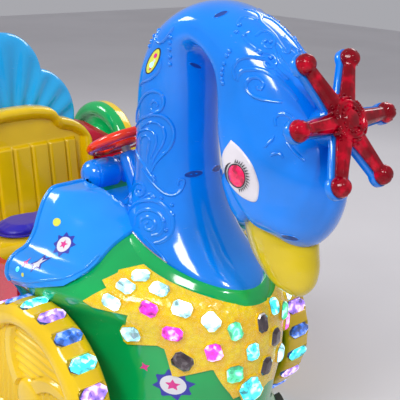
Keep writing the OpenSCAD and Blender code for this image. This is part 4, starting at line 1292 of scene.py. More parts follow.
# --------------------------------------------------------------------------- front body
@dataclass(frozen=True)
class Breast:
    """Green body, column sleeve, collar, gold plates, cowl and roll, in mm."""

    wall: float = 8.0
    plate_t: float = 5.0
    cowl_t: float = 6.0
    plate_outline: tuple = (
        (520, 262), (520, 560), (440, 545), (330, 562), (263, 565), (228, 552), (231, 548), (218, 535), (240, 526),
        (202, 492), (225, 482), (300, 480), (276, 408), (285, 401), (348, 413), (361, 407), (375, 343), (386, 343),
        (436, 364), (440, 364), (458, 302), (461, 284), (474, 294), (480, 266),
    )
    cowl_outline: tuple = (
        (-40, 455), (-7, 466), (50, 480), (103, 498), (150, 513), (168, 530), (176, 556), (172, 600), (160, 640),
        (120, 720), (-40, 720),
    )
    gap: float = 0.4
    board_x: float = -36.0
    column_r: float = 16.0
    collar_middle: Pair = (238.0, 574.0)
    collar_half: Pair = (207.0, 127.0)
    collar_lean: float = 16.0
    roll_middle: Pair = (-50.0, 676.0)
    roll_half: float = 92.0
    roll_r: float = 38.0

    def column_tool(self, r: float) -> bpy.types.Object:
        """A cylinder along the steering column, to cut its way through."""
        return cutter(on_column(lathe([(r, -520), (r, 60)], 32)))

    def shell(self) -> None:
        """The hollow green body, open below, with a way through for the column and the front axle."""
        piece = Shape().skin(BODY.rings(0), 0, (False, True)).build("green_body", [Finish.GREEN], 35.0)
        thickened(piece, self.wall)
        cut(piece, self.column_tool(self.column_r))
        cut(piece, block((-45, -10), 125, (10, 186)))
        place(smooth_piece(piece, 35.0), "green_plastic", replaces=["front_body"])

    def shroud(self) -> None:
        """The sleeve that stands up from the dip round the steering column."""
        profile = [(12.5, -200), (33, -200), (31, -150), (26, -110), (22.5, -60), (21.5, -34), (20, -31),
                   (17, -30), (12.5, -30), (12.5, -200)]
        shape = Shape().skin(on_column(lathe(profile, 40)), 0, (False, False))
        place(shape.build("column_sleeve", [Finish.BLUE], 50.0), "blue_plastic")

    def collar_path(self, reach: float, lift: float, n: int = 120) -> np.ndarray:
        """The tilted oval round the neck's foot, grown by a reach and raised by a lift."""
        a, lean = around(n), math.radians(self.collar_lean)
        d = (self.collar_half[0] + reach) * np.cos(a)
        x = self.collar_middle[0] + d * math.cos(lean) + lift * math.sin(lean)
        z = self.collar_middle[1] - d * math.sin(lean) + lift * math.cos(lean)
        return np.column_stack([x, (self.collar_half[1] + reach) * np.sin(a), z])

    def collar_rings(self, profile: Sequence[Pair]) -> np.ndarray:
        """Rings round the neck's foot, in metres, for a profile of reaches and lifts."""
        return np.array([self.collar_path(reach, lift) for reach, lift in profile]) * MM

    def collar(self) -> None:
        """The rolled collar, open behind, and the bright trim line inside it."""
        profile = [(2, -60), (31, -64), (33.5, -44), (33.5, -30), (31, -20), (26, -11), (19, -3), (12, 4),
                   (7, 9), (3.5, 9.8), (0, 7), (-1.5, 3)]
        sheet = Shape().skin(self.collar_rings(profile), 0, (False, False))
        piece = thickened(sheet.build("neck_collar", [Finish.GREEN], 60.0), 2.0)
        cut(piece, block((-100, 176), 300, (300, 800)))
        line = self.collar_path(1.0, 10.2, 160) * MM
        behind = line[:, 0] < 0.30
        start = int(np.argmax(behind & ~np.roll(behind, 1)))
        arc = np.roll(line, -start, 0)[:int(behind.sum())]
        trim = beads("collar_trim", [(arc, 0.0022)], Finish.CHROME)
        place(smooth_piece(piece, 50.0), "green_plastic")
        place(trim, "bare_steel")

    def neck_tool(self) -> bpy.types.Object:
        """The neck's room, to cut the cowl with."""
        rows = soft_rows(SWAN.rows[:6], 6)
        return cutter(np.array([SWAN.ring(row, around(72), -0.5) for row in rows]) * MM)

    def plates(self) -> None:
        """The gold feather plates, cut free of the collar."""
        piece = BODY.solid(self.plate_t)
        piece.name = "feather_plates"
        cut(piece, prism(self.plate_outline), "INTERSECT")
        cut(piece, BODY.solid(self.gap))
        cut(piece, cutter(self.collar_rings([(26, -90), (33, -34), (33, 60), (33, 120)])))
        bevelled(piece, 1.8, Finish.GOLD)
        place(smooth_piece(piece, 40.0), "gold_plate", replaces=["breast_plates"])

    def cowl(self) -> None:
        """The light blue cowl with its rear board and the rolled lip along its edges."""
        piece = BODY.solid(self.cowl_t, self.board_x)
        piece.name = "cowl_panel"
        cut(piece, prism(self.cowl_outline), "INTERSECT")
        cut(piece, BODY.solid(self.gap, -29.7))
        cut(piece, self.neck_tool())
        cut(piece, self.column_tool(self.column_r))
        edge = np.array([(self.board_x, w, z) for z, w, _, _ in BODY.crowned(self.cowl_t) if z > 200])
        edge = BODY.dipped(edge, self.cowl_t)
        half = np.vstack([[(self.board_x, edge[0, 1], 197.0)], edge])
        ring = np.vstack([half, half[::-1] * [1, -1, 1]])
        sheet = Shape().skin(np.array([ring, ring + [5.7, 0, 0]]) * MM)
        board = sheet.build("cowl_rear_board", [Finish.LIGHT_BLUE])
        cut(board, self.column_tool(self.column_r))
        bevelled(piece, 2.2, Finish.LIGHT_BLUE)
        inner = soft_rows([(x - 5 - 2 * (x > 140), z + 14) for x, z in self.cowl_outline[1:7]], 10)
        line = np.array([BODY.at(x, z, self.cowl_t)[0] for x, z in inner]) * MM
        rear = edge[edge[:, 2] > 470] * MM + [0.003, 0, 0]
        lip = [(line, 0.0030), (line * [1, -1, 1], 0.0030)]
        lip += [(resample(rear * [1, side, 1], 0.006), 0.0052) for side in (1, -1)]
        rolled = beads("cowl_lip", lip, Finish.LIGHT_BLUE, 1.0, 12)
        place(smooth_piece(piece, 40.0), "light_blue_plastic", replaces=["cowl"])
        place(smooth_piece(board, 40.0), "light_blue_plastic")
        place(rolled, "light_blue_plastic")

    def roll(self) -> None:
        """The padded-looking roll under the steering wheel, with a waist and end creases."""
        profile = []
        for y in np.linspace(-self.roll_half, self.roll_half, 93):
            edge = max(self.roll_half - abs(y), 0)
            r = self.roll_r * (1 - (1 - min(edge / 30, 1)) ** 2) ** 0.5
            r -= 5.0 * math.exp(-((y - 4) / 7) ** 2) + 1.6 * math.exp(-((abs(y) - 66) / 3.0) ** 2)
            profile.append((max(r, 0.4), y))
        rings = lathe(profile, 64)
        x, z = self.roll_middle
        rings = np.stack([rings[..., 0] + x, rings[..., 2], rings[..., 1] + z], -1) * MM
        piece = Shape().skin(rings).build("dash_roll_piece", [Finish.BLUE], 60.0)
        cut(piece, self.column_tool(11.05))
        place(smooth_piece(piece, 60.0), "blue_plastic", replaces=["dash_roll"])

    def make(self) -> None:
        """Build the front of the car."""
        self.shell()
        self.shroud()
        self.collar()
        self.plates()
        self.cowl()
        self.roll()


@dataclass(frozen=True)
class Covers:
    """A pair of wheel covers: place, size, depth of the boss inwards and number of lamp frames, mm."""

    end: str
    middle: Pair
    radius: float
    inner: float
    boss: float
    frames: int
    width: float = 92.0
    phase: float = 110.6


FRONT = Covers("front", (101.0, 234.0), 226.0, 288.0, -38.0, 21)
REAR = Covers("rear", (-515.0, 198.0), 190.0, 306.0, -6.0, 0)


class Cut(Enum):
    """A stone's outline: half of its flat end over its width, and half of its flat side over its length."""

    LONG = (0.14, 0.3)
    SQUARE = (0.26, 0.33)


@dataclass(frozen=True)
class Stones:
    """Cut lamp stones on the chest and round the front wheel covers.

    A chest row holds height, bearing, length, width, turn, finish and whether the stone has a twin on
    the other side.
    """

    grow: float = 5.0
    chest: tuple = (
        (547, 43, 44, 34, 62, Finish.WHITE_LAMP, True), (531, 47, 48, 34, 62, Finish.WHITE_LAMP, True),
        (532, 36, 48, 36, 62, Finish.WHITE_LAMP, True), (503, 51, 48, 32, 66, Finish.WHITE_LAMP, True),
        (505, 30, 48, 36, 62, Finish.WHITE_LAMP, True), (500, 40, 44, 34, 62, Finish.MAGENTA_LAMP, True),
        (451, 36, 50, 38, 60, Finish.MAGENTA_LAMP, True), (433, 50, 48, 40, 84, Finish.WHITE_LAMP, True),
        (480, 22, 46, 38, 20, Finish.WHITE_LAMP, True), (409, 24, 46, 40, 12, Finish.MAGENTA_LAMP, True),
        (383, 35, 52, 44, 60, Finish.DARK_LAMP, True), (455, 14.5, 46, 34, 8, Finish.GREEN_LAMP, True),
        (399, 7.5, 46, 34, 10, Finish.CYAN_LAMP, False), (412, -6.5, 46, 30, 0, Finish.DARK_LAMP, False),
        (351, 15, 46, 42, 8, Finish.GREEN_LAMP, False), (352, -14.5, 46, 36, 8, Finish.WHITE_LAMP, False),
        (300, 6, 74, 58, 30, Finish.CYAN_LAMP, False), (349, -1.5, 48, 32, -10, Finish.DARK_LAMP, False),
        (459, 2, 48, 30, 0, Finish.DARK_LAMP, False), (481, -6, 42, 30, 0, Finish.CYAN_LAMP, False),
    )
    ring: tuple = (Finish.BLUE_LAMP, Finish.CYAN_LAMP, Finish.VIOLET_LAMP)
    seat: float = 0.9
    bezel_h: float = 3.4

    def stone(self, middle: np.ndarray, out: np.ndarray, along: np.ndarray, size: Pair, height: float,
              kind: Cut = Cut.SQUARE) -> np.ndarray:
        """The rings of one cut stone: foot, girdle, a row of facets and the table.

        Args:
            middle: its place, mm.
            out: the direction that it faces.
            along: the direction of its length.
            size: length and width.
            height: how far it stands out.
            kind: the outline.

        Returns:
            The rings in metres.
        """
        length, width = size
        end, flank = kind.value
        corners = np.array([(0.5, end), (flank, 0.5), (-flank, 0.5), (-0.5, end)])
        outline = np.vstack([corners, -corners]) * [length, width]
        side = np.cross(out, along)
        rings = []
        for k, h in ((1.0, -4.0), (1.0, 0.35), (0.84, 0.72), (0.6, 1.0)):
            p = outline * [1 - (1 - k) * width / length, k]
            rings.append(middle + p[:, :1] * along + p[:, 1:] * side + out * (h * height if h > 0 else h))
        return np.array(rings) * MM

    def gem(self, rings: np.ndarray, mark: int, girdle: int) -> Shape:
        """A stone's skin, with the girdle in a finish of its own: its dark blue is the backing's colour and painted
        shade at the stone's edge.
        """
        part = Shape().skin(rings, mark, (False, True))
        part.marks[:rings.shape[1]] = [girdle] * rings.shape[1]
        return part

    def chest_lamps(self) -> None:
        """The stones on the plates, each in a thin raised bezel."""
        stones, bezels = Shape(), Shape()
        finishes = list(dict.fromkeys(row[5] for row in self.chest))
        for z, bearing, length, width, turn, finish, paired in self.chest:
            p, out, down = BODY.facing(z, bearing, self.grow)
            t = math.radians(turn)
            along = down * math.cos(t) + np.cross(out, down) * math.sin(t)
            small, lift = (length * self.seat, width * self.seat), out * 0.0016
            part = self.gem(self.stone(p, out, along, small, 11.0), finishes.index(finish), len(finishes))
            outer = self.stone(p, out, along, (length, width), self.bezel_h)
            inner = self.stone(p, out, along, small, self.bezel_h)
            rings = np.array([outer[0], outer[1] + lift, inner[1] + lift, inner[0]])
            band = Shape().skin(rings, 0, (False, False))
            stones.join(part.mirrored() if paired else part)
            bezels.join(band.mirrored() if paired else band)
        piece = stones.build("chest_stones", [*finishes, Finish.LAMP_BACKING_AND_SHADE], 6.0, outward=False)
        place(piece, "lamp_glass", replaces=["breast_lamps"])
        place(bezels.build("chest_bezels", [Finish.GOLD], 30.0, outward=False), "gold_plate")

    def cover_lamps(self) -> None:
        """The long stones round the front covers' treads."""
        shape = Shape()
        hub = np.array([FRONT.middle[0], -(FRONT.inner + FRONT.width / 2 - 4), FRONT.middle[1]])
        for i in range(FRONT.frames):
            a = math.radians(FRONT.phase - 360 * i / FRONT.frames)
            out = np.array([math.cos(a), 0.0, math.sin(a)])
            middle = hub + out * (FRONT.radius - 4.5)
            rings = self.stone(middle, out, np.array([0.0, -1.0, 0.0]), (68, 35), 10.5, Cut.LONG)
            shape.join(self.gem(rings, i % len(self.ring), len(self.ring)))
        finishes = [*self.ring, Finish.LAMP_BACKING_AND_SHADE]
        piece = shape.mirrored().build("cover_stones", finishes, 6.0, outward=False)
        place(piece, "lamp_glass", replaces=["cover_lamps"])

    def make(self) -> None:
        """Build every stone."""
        self.chest_lamps()
        self.cover_lamps()


# --------------------------------------------------------------------------- wheel covers and discs
@dataclass(frozen=True)
class WheelCover:
    """A wheel-shaped cover: domed tread, recessed lamp frames, curved bands and ribs on its face."""

    covers: Covers
    word: str
    side: int
    turn: int = 252
    hub_r: float = 46.5
    rim: float = 50.0
    spoke_phase: float = 22.0
    spoke_curve: float = 118.0
    spoke_h: float = 11.0
    rib_h: float = 7.0
    rib_pitch: float = 21.0

    def profile(self) -> list[Pair]:
        """Half section from the boss inside, over the tread, to the middle of the face."""
        r, boss = self.covers.radius, self.covers.boss
        inside = [(0.5, boss), (49, boss), (50, boss + 1), (50, 57), (52, 58), (r - 24, 58), (r - 22, 56),
                  (r - 22, 3), (r - 20, 1.5)]
        tread = [(r - 14, 1.5), (r - 6, 4), (r - 2.5, 9), (r - 0.5, 15)]
        tread += [(r + 2.2 * math.sin(math.pi * (z - 15) / 60) - (z - 15) * 0.02, z)
                  for z in np.arange(18, 73, 3.0)]
        shoulder = [(r - 1.5, 75), (r - 4, 79), (r - 8, 83), (r - 13, 86.5), (r - 19, 89.5), (r - 26, 91.3),
                    (r - 33, 91.8), (r - 39, 90.5), (r - 43, 88), (r - 46, 84), (r - 48, 79)]
        face = [(x, 74.0) for x in np.arange(r - 51, 47, -2.0)]
        hub = [(46, 75), (42, 78), (34, 80), (20, 81), (0.5, 81.5)]
        return inside + tread + shoulder + face + hub

    def framed(self, r: np.ndarray, z: np.ndarray, a: np.ndarray) -> np.ndarray:
        """The radius with the lamp frames pressed into the tread, each in a raised edge."""
        tread = (r > self.covers.radius - 7) & (z > 5)
        pitch = 2 * math.pi / self.covers.frames
        local = (a - math.radians(self.covers.phase) + pitch / 2) % pitch - pitch / 2
        u = np.abs(local) * self.covers.radius
        v = np.abs(z - 42)
        square = np.maximum(u - 17.5, v - 35.5 + 0.35 * np.maximum(u - 8, 0))
        deep = np.clip((0 - square) / 3.0, 0, 1)
        edge = np.exp(-((square - 3.2) / 1.8) ** 2)
        return np.where(tread, r - 6.5 * deep * deep * (3 - 2 * deep) + 1.5 * edge, r)

    def press(self, r: np.ndarray, z: np.ndarray, a: np.ndarray) -> tuple[np.ndarray, np.ndarray]:
        """Press the lamp frames into the tread and raise four bands with ribs between them on the face."""
        if self.covers.frames:
            r = self.framed(r, z, a)
        rim = self.covers.radius - self.rim
        face = (r > self.hub_r) & (r < rim) & (z > 70)
        x, y = r * np.cos(a), r * np.sin(a)
        phase, quarter = math.radians(self.spoke_phase), math.pi / 2
        spin = self.side * a - np.arcsin(np.clip(r / (2 * self.spoke_curve), 0, 1)) - phase
        sector = np.floor(spin / quarter + 0.5)
        off = np.abs(spin - sector * quarter) * r * 0.8
        band = np.clip((17 - off) / 6, 0, 1)
        lift = band * band * (3 - 2 * band) * self.spoke_h
        axis = self.side * (np.floor(spin / quarter) * quarter + phase + 1.25)
        wave = np.cos((x * np.cos(axis) + y * np.sin(axis)) * 2 * math.pi / self.rib_pitch)
        ribs = np.clip(0.5 + 0.5 * wave, 0, 1) ** 1.5
        lift = np.maximum(lift, ribs * self.rib_h * np.clip((off - 15) / 5, 0, 1))
        fade = np.clip((r - 48) / 5, 0, 1) * np.clip((rim - r) / 6, 0, 1)
        return r, np.where(face, z + lift * fade - 4.0, z)

    def make(self) -> None:
        """Build the cover and put it in its place."""
        rings = lathe(self.profile(), self.turn, self.press)
        x = self.covers.middle[0] + rings[..., 0]
        y = self.side * (self.covers.inner + rings[..., 2])
        z = self.covers.middle[1] + rings[..., 1]
        shape = Shape().skin(np.stack([x, y, z], -1) * MM)
        piece = shape.build(f"{self.covers.end}_cover_{self.word}", [Finish.YELLOW], 50.0)
        place(piece, "yellow_plastic", replaces=[f"wheel_cover_{self.covers.end}_{self.word}"])


@dataclass(frozen=True)
class SideDisc:
    """The raised two-colour disc at each rear side."""

    middle: Pair = (-561.0, 576.0)
    radius: float = 149.0
    inner: float = 322.0

    def turned(self, profile: Sequence[Pair]) -> Shape:
        """A turned shape on the near side with its mirror image."""
        rings = lathe(profile, 128)
        x, z = self.middle
        points = np.stack([x + rings[..., 0], -(self.inner + rings[..., 2]), z + rings[..., 1]], -1)
        return Shape().skin(points * MM).mirrored()

    def make(self) -> None:
        """Build the green inner half and the yellow outer half."""
        r = self.radius
        green = [(0.5, -22), (33, -22), (34, -21), (34, 7), (40, 7), (43, 3), (46, 0.5), (52, 0), (66, 0),
                 (71, 1.5), (74, 6), (76, 12), (82, 14), (98, 14), (104, 12), (108, 6), (113, 1.5), (122, 0),
                 (132, 1), (140, 5), (146, 11), (r, 19), (r, 29.6), (0.5, 29.6)]
        yellow = [(0.5, 30), (r, 30), (r, 50), (r - 1.5, 55), (r - 5, 60), (r - 12, 64), (r - 22, 66),
                  (r - 30, 65), (r - 36, 61), (r - 40, 57), (96, 56), (90, 58), (86, 62), (78, 64), (66, 64),
                  (60, 62), (56, 57), (44, 56), (38, 60), (24, 66), (0.5, 68)]
        inside = self.turned(green).build("disc_inner_halves", [Finish.GREEN], 50.0)
        place(inside, "green_plastic", replaces=["side_discs"])
        outside = self.turned(yellow).build("disc_outer_halves", [Finish.YELLOW], 50.0)
        place(outside, "yellow_plastic", replaces=["side_disc_rims"])


# --------------------------------------------------------------------------- seat, cushion, fan
@dataclass(frozen=True)
class Seat:
    """Ribbed back with a rolled border and an arched top, rounded base, vinyl cushion, in mm."""

    back_x: float = -478.0
    base_z: float = 442.0
    half: float = 246.0
    foot_z: float = 430.0
    lean: float = 8.0
    border: float = 34.0
    pad_x: float = -362.0
    pad_r: float = 64.0
    pad_straight: float = 95.0
    puff: float = 9.0
    floor_z: float = 442.8
    edge: tuple = (
        (0, 763), (40, 762), (80, 757), (105, 751), (118, 742), (126, 729), (138, 720), (158, 715), (178, 708),
        (198, 697), (216, 682), (230, 664), (240, 641), (246, 612), (246, 400),
    )

    def top(self, y: np.ndarray) -> np.ndarray:
        """The back's upper outline over its width."""
        e = np.array(self.edge[:-1])
        return np.interp(np.abs(y), e[:, 0], e[:, 1])

    def depth(self, y: np.ndarray, z: np.ndarray, edge: np.ndarray) -> np.ndarray:
        """How far the back's face stands out: border, ribs and the set-back panel above them."""
        near = np.clip(1 - edge / self.border, 0, 1)
        border = 26 * np.sqrt(np.clip(1 - (2 * near - 1) ** 2, 0, 1)) * (edge < self.border)
        groove = np.abs(np.abs(y) % 60 - 30)
        rib = 13 * (1 - 0.55 * np.exp(-(groove / 4.5) ** 2))
        inside = np.clip((190 - np.abs(y)) / 8, 0, 1) * np.clip((650 - z) / 8, 0, 1)
        return np.maximum(border, rib * inside)

    def back(self) -> None:
        """The seat back."""
        y = np.linspace(-self.half, self.half, 190)
        y = np.sign(y) * self.half * (np.abs(y) / self.half) ** 0.9
        top = self.top(y)[None]
        z = self.foot_z + (top - self.foot_z) * np.linspace(0, 1, 110)[:, None]
        yy = np.broadcast_to(y, z.shape)
        edge = np.minimum(self.half - np.abs(yy), (top - z) * 0.85)
        front = 22 + self.depth(yy, z, edge)
        thin = np.clip(edge / 6, 0, 1) ** 0.5
        face = np.stack([11 + (front - 11) * thin, yy, z], -1)
        rear = np.stack([11 - 11 * thin, yy, z], -1)
        shape = Shape()
        for sheet in (face, rear[:, ::-1], np.array([face[0], rear[0]])):
            shape.skin(sheet, 0, (False, False), loop=False)
        points = np.array(shape.points)
        x, h = leaned(points[:, 0], points[:, 2] - self.base_z, self.lean)
        points = np.column_stack([self.back_x + x, points[:, 1], self.base_z + h])
        shape.points = [tuple(p) for p in points * MM]
        place(shape.build("seat_back", [Finish.YELLOW], 60.0), "yellow_plastic", replaces=["seat"])

    def base(self) -> None:
        """The rounded seat base."""
        foot = 197.3
        front = [(-250.3, foot), (-250, 390), (-251, 405), (-256, 419), (-265, 431), (-278, 439), (-295, 442),
                 (-440, 442), (-478, 442)]
        ends = np.array([240, 243.5, 245.4, 246])
        rings = []
        for y in np.concatenate([-ends[::-1], np.linspace(-234, 234, 40), ends]):
            tuck = 6 * (1 - math.sqrt(max(1 - max((abs(y) - 236) / 10, 0) ** 2, 0)))
            rings.append([(-478, y, foot)] + [
                (x - tuck * (x > -300), y, z - tuck * (z > 380)) for x, z in front])
        shape = Shape().skin(np.array(rings) * MM)
        place(shape.build("seat_base", [Finish.YELLOW], 45.0), "yellow_plastic")

    def bolts(self) -> None:
        """Bolt heads in dark washers on the base's front."""
        def row(x: float) -> list:
            return [((x, y, 0.405), (1, 0, 0)) for y in (-0.184, 0.184)]
        place(studs("seat_washers", row(-0.2505), Finish.PAINTED, 0.013, 0.003, 24), "black_steel")
        place(studs("seat_bolts", row(-0.2480), Finish.STEEL, 0.0065, 0.005, 6), "bare_steel")

    def blown(self, pad: bpy.types.Object) -> None:
        """Blow the pad up as cloth, by no more than the puff and not into the base."""
        rest = np.array([v.co[:] for v in pad.data.vertices])
        cloth = pad.modifiers.new("air", "CLOTH")
        cloth.settings.use_pressure = True
        cloth.settings.uniform_pressure_force = 4.0
        cloth.settings.effector_weights.gravity = 0.0
        cloth.settings.quality = 6
        scene = bpy.context.scene
        for step in range(1, 21):
            scene.frame_set(step)
        evaluated(pad)
        scene.frame_set(1)
        now = np.array([v.co[:] for v in pad.data.vertices])
        if len(now) == len(rest):
            move = now - rest
            far = np.linalg.norm(move, axis=1)
            move *= np.minimum(1, self.puff * MM / np.maximum(far, 1e-9))[:, None]
            now = rest + move
            now[:, 2] = np.maximum(now[:, 2], self.floor_z * MM)
            pad.data.vertices.foreach_set("co", now.ravel())

    def cushion(self) -> None:
        """The oval cushion: a cloth form blown up over the base, with a welt round it."""
        a = around(72)
        x = self.pad_r * np.cos(a)
        y = np.sign(np.sin(a)) * self.pad_straight + self.pad_r * np.sin(a)
        rings = [np.column_stack([self.pad_x + x * k, y * (1 - (1 - k) * 0.4), np.full_like(x, z)])
                 for k, z in ((0.96, 444), (1.0, 450), (1.0, 458), (0.94, 465))]
        pad = Shape().skin(np.array(rings) * MM).build("seat_pad", [Finish.VINYL], 60.0)
        remesh = pad.modifiers.new("even", "REMESH")
        remesh.mode, remesh.voxel_size = "VOXEL", 0.005
        evaluated(pad)
        self.blown(pad)
        soft = pad.modifiers.new("soft", "SUBSURF")
        soft.levels = soft.render_levels = 1
        smooth_piece(refinished(evaluated(pad), Finish.VINYL), 80.0)
        place(pad, "cushion_cover", replaces=["seat_cushion"])
        grow = 1.075
        bow = np.sign(y) * self.pad_straight + (np.abs(y) - self.pad_straight) * np.sign(y) * grow
        welt = np.column_stack([self.pad_x + x * grow, bow, np.full_like(x, 451.0)]) * MM
        line = resample(welt, 0.006, True)
        place(beads("pad_welt", [(np.vstack([line, line[:1]]), 0.0030)], Finish.VINYL), "cushion_cover")

    def make(self) -> None:
        """Build the seat."""
        self.back()
        self.base()
        self.bolts()
        self.cushion()


@dataclass(frozen=True)
class TailFan:
    """The fan of rounded feathers behind the seat, ribbed from its foot."""

    x: float = -560.0
    foot_z: float = 600.0
    thick: float = 34.0
    lean: float = 5.0
    foot_gap: float = 0.3
    circles: tuple = ((0, 838, 125), (92, 712, 143), (-92, 712, 143), (110, 660, 125), (-110, 660, 125))

    def reach(self, a: np.ndarray) -> np.ndarray:
        """The outline's distance from the foot in each direction."""
        best = np.zeros_like(a)
        dy, dz = np.sin(a), np.cos(a)
        for y, z, r in self.circles:
            b = y * dy + (z - self.foot_z) * dz
            c = y * y + (z - self.foot_z) ** 2 - r * r
            disc = b * b - c
            hit = np.where(disc > 0, b + np.sqrt(np.maximum(disc, 0)), 0)
            best = np.maximum(best, hit)
        return best

    def make(self) -> None:
        """Build the fan."""
        a = np.linspace(-math.pi / 2, math.pi / 2, 361)
        k = np.concatenate([np.linspace(0.03, 0.9, 40), [0.93, 0.955, 0.975, 0.99, 1.0]])
        kk, aa = np.meshgrid(k, a, indexing="ij")
        r = self.reach(aa) * kk
        y, h = r * np.sin(aa), self.foot_gap + r * np.cos(aa)
        ribs = 3.2 * np.cos(aa * 26) * np.clip(kk * 3 - 0.5, 0, 1) * np.clip((1 - kk) * 12, 0, 1)
        full = np.sqrt(np.clip(1 - np.clip((kk - 0.9) / 0.1, 0, 1) ** 2, 0, 1))
        half = self.thick / 2
        sheets = []
        for way in (1, -1):
            dx, dz = leaned(half + way * (half + ribs - 1.5) * full, h, self.lean)
            z = np.maximum(self.foot_z + dz, self.foot_z + 0.2)
            sheets.append(np.stack([self.x + dx, y, z], -1) * MM)
        front, rear = sheets
        shape = Shape()
        for sheet in (front, rear[:, ::-1], *(np.array([front[:, end], rear[:, end]]) for end in (0, -1)),
                      np.array([front[0], rear[0]])):
            shape.skin(sheet, 0, (False, False), loop=False)
        piece = shape.build("tail_feathers", [Finish.FAN_BLUE], 60.0)
        place(piece, "light_blue_plastic", replaces=["tail_fan"])


# --------------------------------------------------------------------------- steering wheel and running gear
@dataclass(frozen=True)
class SteeringWheel:
    """Thick rim, broad spokes and a domed hub, turned with the column, in mm."""

    radius: float = 83.0
    tube: float = 11.7
    spokes: tuple = (105, 180, 255)

    def spoke(self, degrees: float, c: np.ndarray) -> np.ndarray:
        """One spoke's rings from the hub to the rim, wider at both ends and bowed down."""
        along, side = compass(degrees)
        across = np.sign(np.cos(c)) * np.abs(np.cos(c)) ** 0.7
        rise = np.sign(np.sin(c)) * np.abs(np.sin(c)) ** 0.8
        rings = []
        for k in np.linspace(0, 1, 14):
            w = 12.4 + 8 * (2 * k - 1) ** 4
            h = 5.5 + 1.5 * abs(2 * k - 1)
            height = np.outer(rise * h - 3 - 3 * math.sin(math.pi * k), [0, 0, 1])
            rings.append(along * (18 + 60 * k) + (across * w)[:, None] * side + height)
        return np.array(rings)

    def make(self) -> None:
        """Build the wheel."""
        shape = Shape()
        c = around(20)
        r, rise = self.radius + self.tube * np.cos(c), self.tube * np.sin(c)
        rim = [np.column_stack([r * math.cos(t), r * math.sin(t), rise]) for t in np.linspace(0, 2 * math.pi, 97)]
        shape.skin(on_column(np.array(rim)), 0, (False, False))
        for degrees in self.spokes:
            shape.skin(on_column(self.spoke(degrees, c)))
        hub = [(0.5, -15.8), (28, -15.8), (29.8, -14), (30, 3), (28.5, 6), (25, 7), (23.5, 5.5), (21, 5.5),
               (19.5, 8), (12, 9.4), (0.5, 9.8)]
        shape.skin(on_column(lathe(hub, 48)))
        piece = shape.build("hand_wheel", [Finish.ORANGE], 50.0)
        place(piece, "orange_plastic", "steering", replaces=["steering_wheel"])


@dataclass(frozen=True)
class RunningGear:
    """Tread lugs on the tyres and the wheels' nuts, in mm."""

    tyre_r: float = 85.0
    lugs: int = 30
    lane: float = 9.5
    nut_r: float = 16.0
    wheels: tuple = (
        ("wheel_front_left", 150.0, 180.0), ("wheel_front_right", 150.0, -180.0),
        ("wheel_rear_left", -520.0, 195.0), ("wheel_rear_right", -520.0, -195.0),
    )

    def tread(self, body: str, x: float, y: float) -> None:
        """Two lanes of lugs round one tyre."""
        shape = Shape()
        for k in range(self.lugs):
            for lane, lead in ((-self.lane, 0.0), (self.lane, 0.5)):
                a = 2 * math.pi * (k + lead) / self.lugs
                out = np.array([math.cos(a), 0, math.sin(a)])
                along = np.array([-math.sin(a), 0, math.cos(a)])
                mid = np.array([x, y + lane, self.tyre_r])
                rings = [[mid + out * h + along * (4.6 * s * i) + np.array([0, 6.5 * s * j, 0])
                          for i, j in ((-1, -1), (1, -1), (1, 1), (-1, 1))]
                         for h, s in ((81.5, 1.0), (84.6, 1.0), (84.9, 0.8))]
                shape.skin(np.array(rings) * MM)
        place(shape.build("tread_" + body, [Finish.TYRE], 30.0), "tyre_rubber", body)

    def nuts(self, body: str, x: float, y: float) -> None:
        """One wheel's middle nut with five round it."""
        side = 1 if y > 0 else -1
        spots = [(0.0, 21.6, 0.0)]
        for k in range(5):
            a = math.radians(72 * k + 36)
            spots.append((self.nut_r * math.cos(a), 21.2, self.nut_r * math.sin(a)))
        places = [(((x + u) * MM, (y + side * out) * MM, (self.tyre_r + v) * MM), (0, side, 0))
                  for u, out, v in spots]
        place(studs("nuts_" + body, places, Finish.STEEL, 0.003, 0.002, 6), "bare_steel", body)

    def make(self) -> None:
        """Build lugs and nuts on each wheel."""
        for body, x, y in self.wheels:
            self.tread(body, x, y)
            self.nuts(body, x, y)


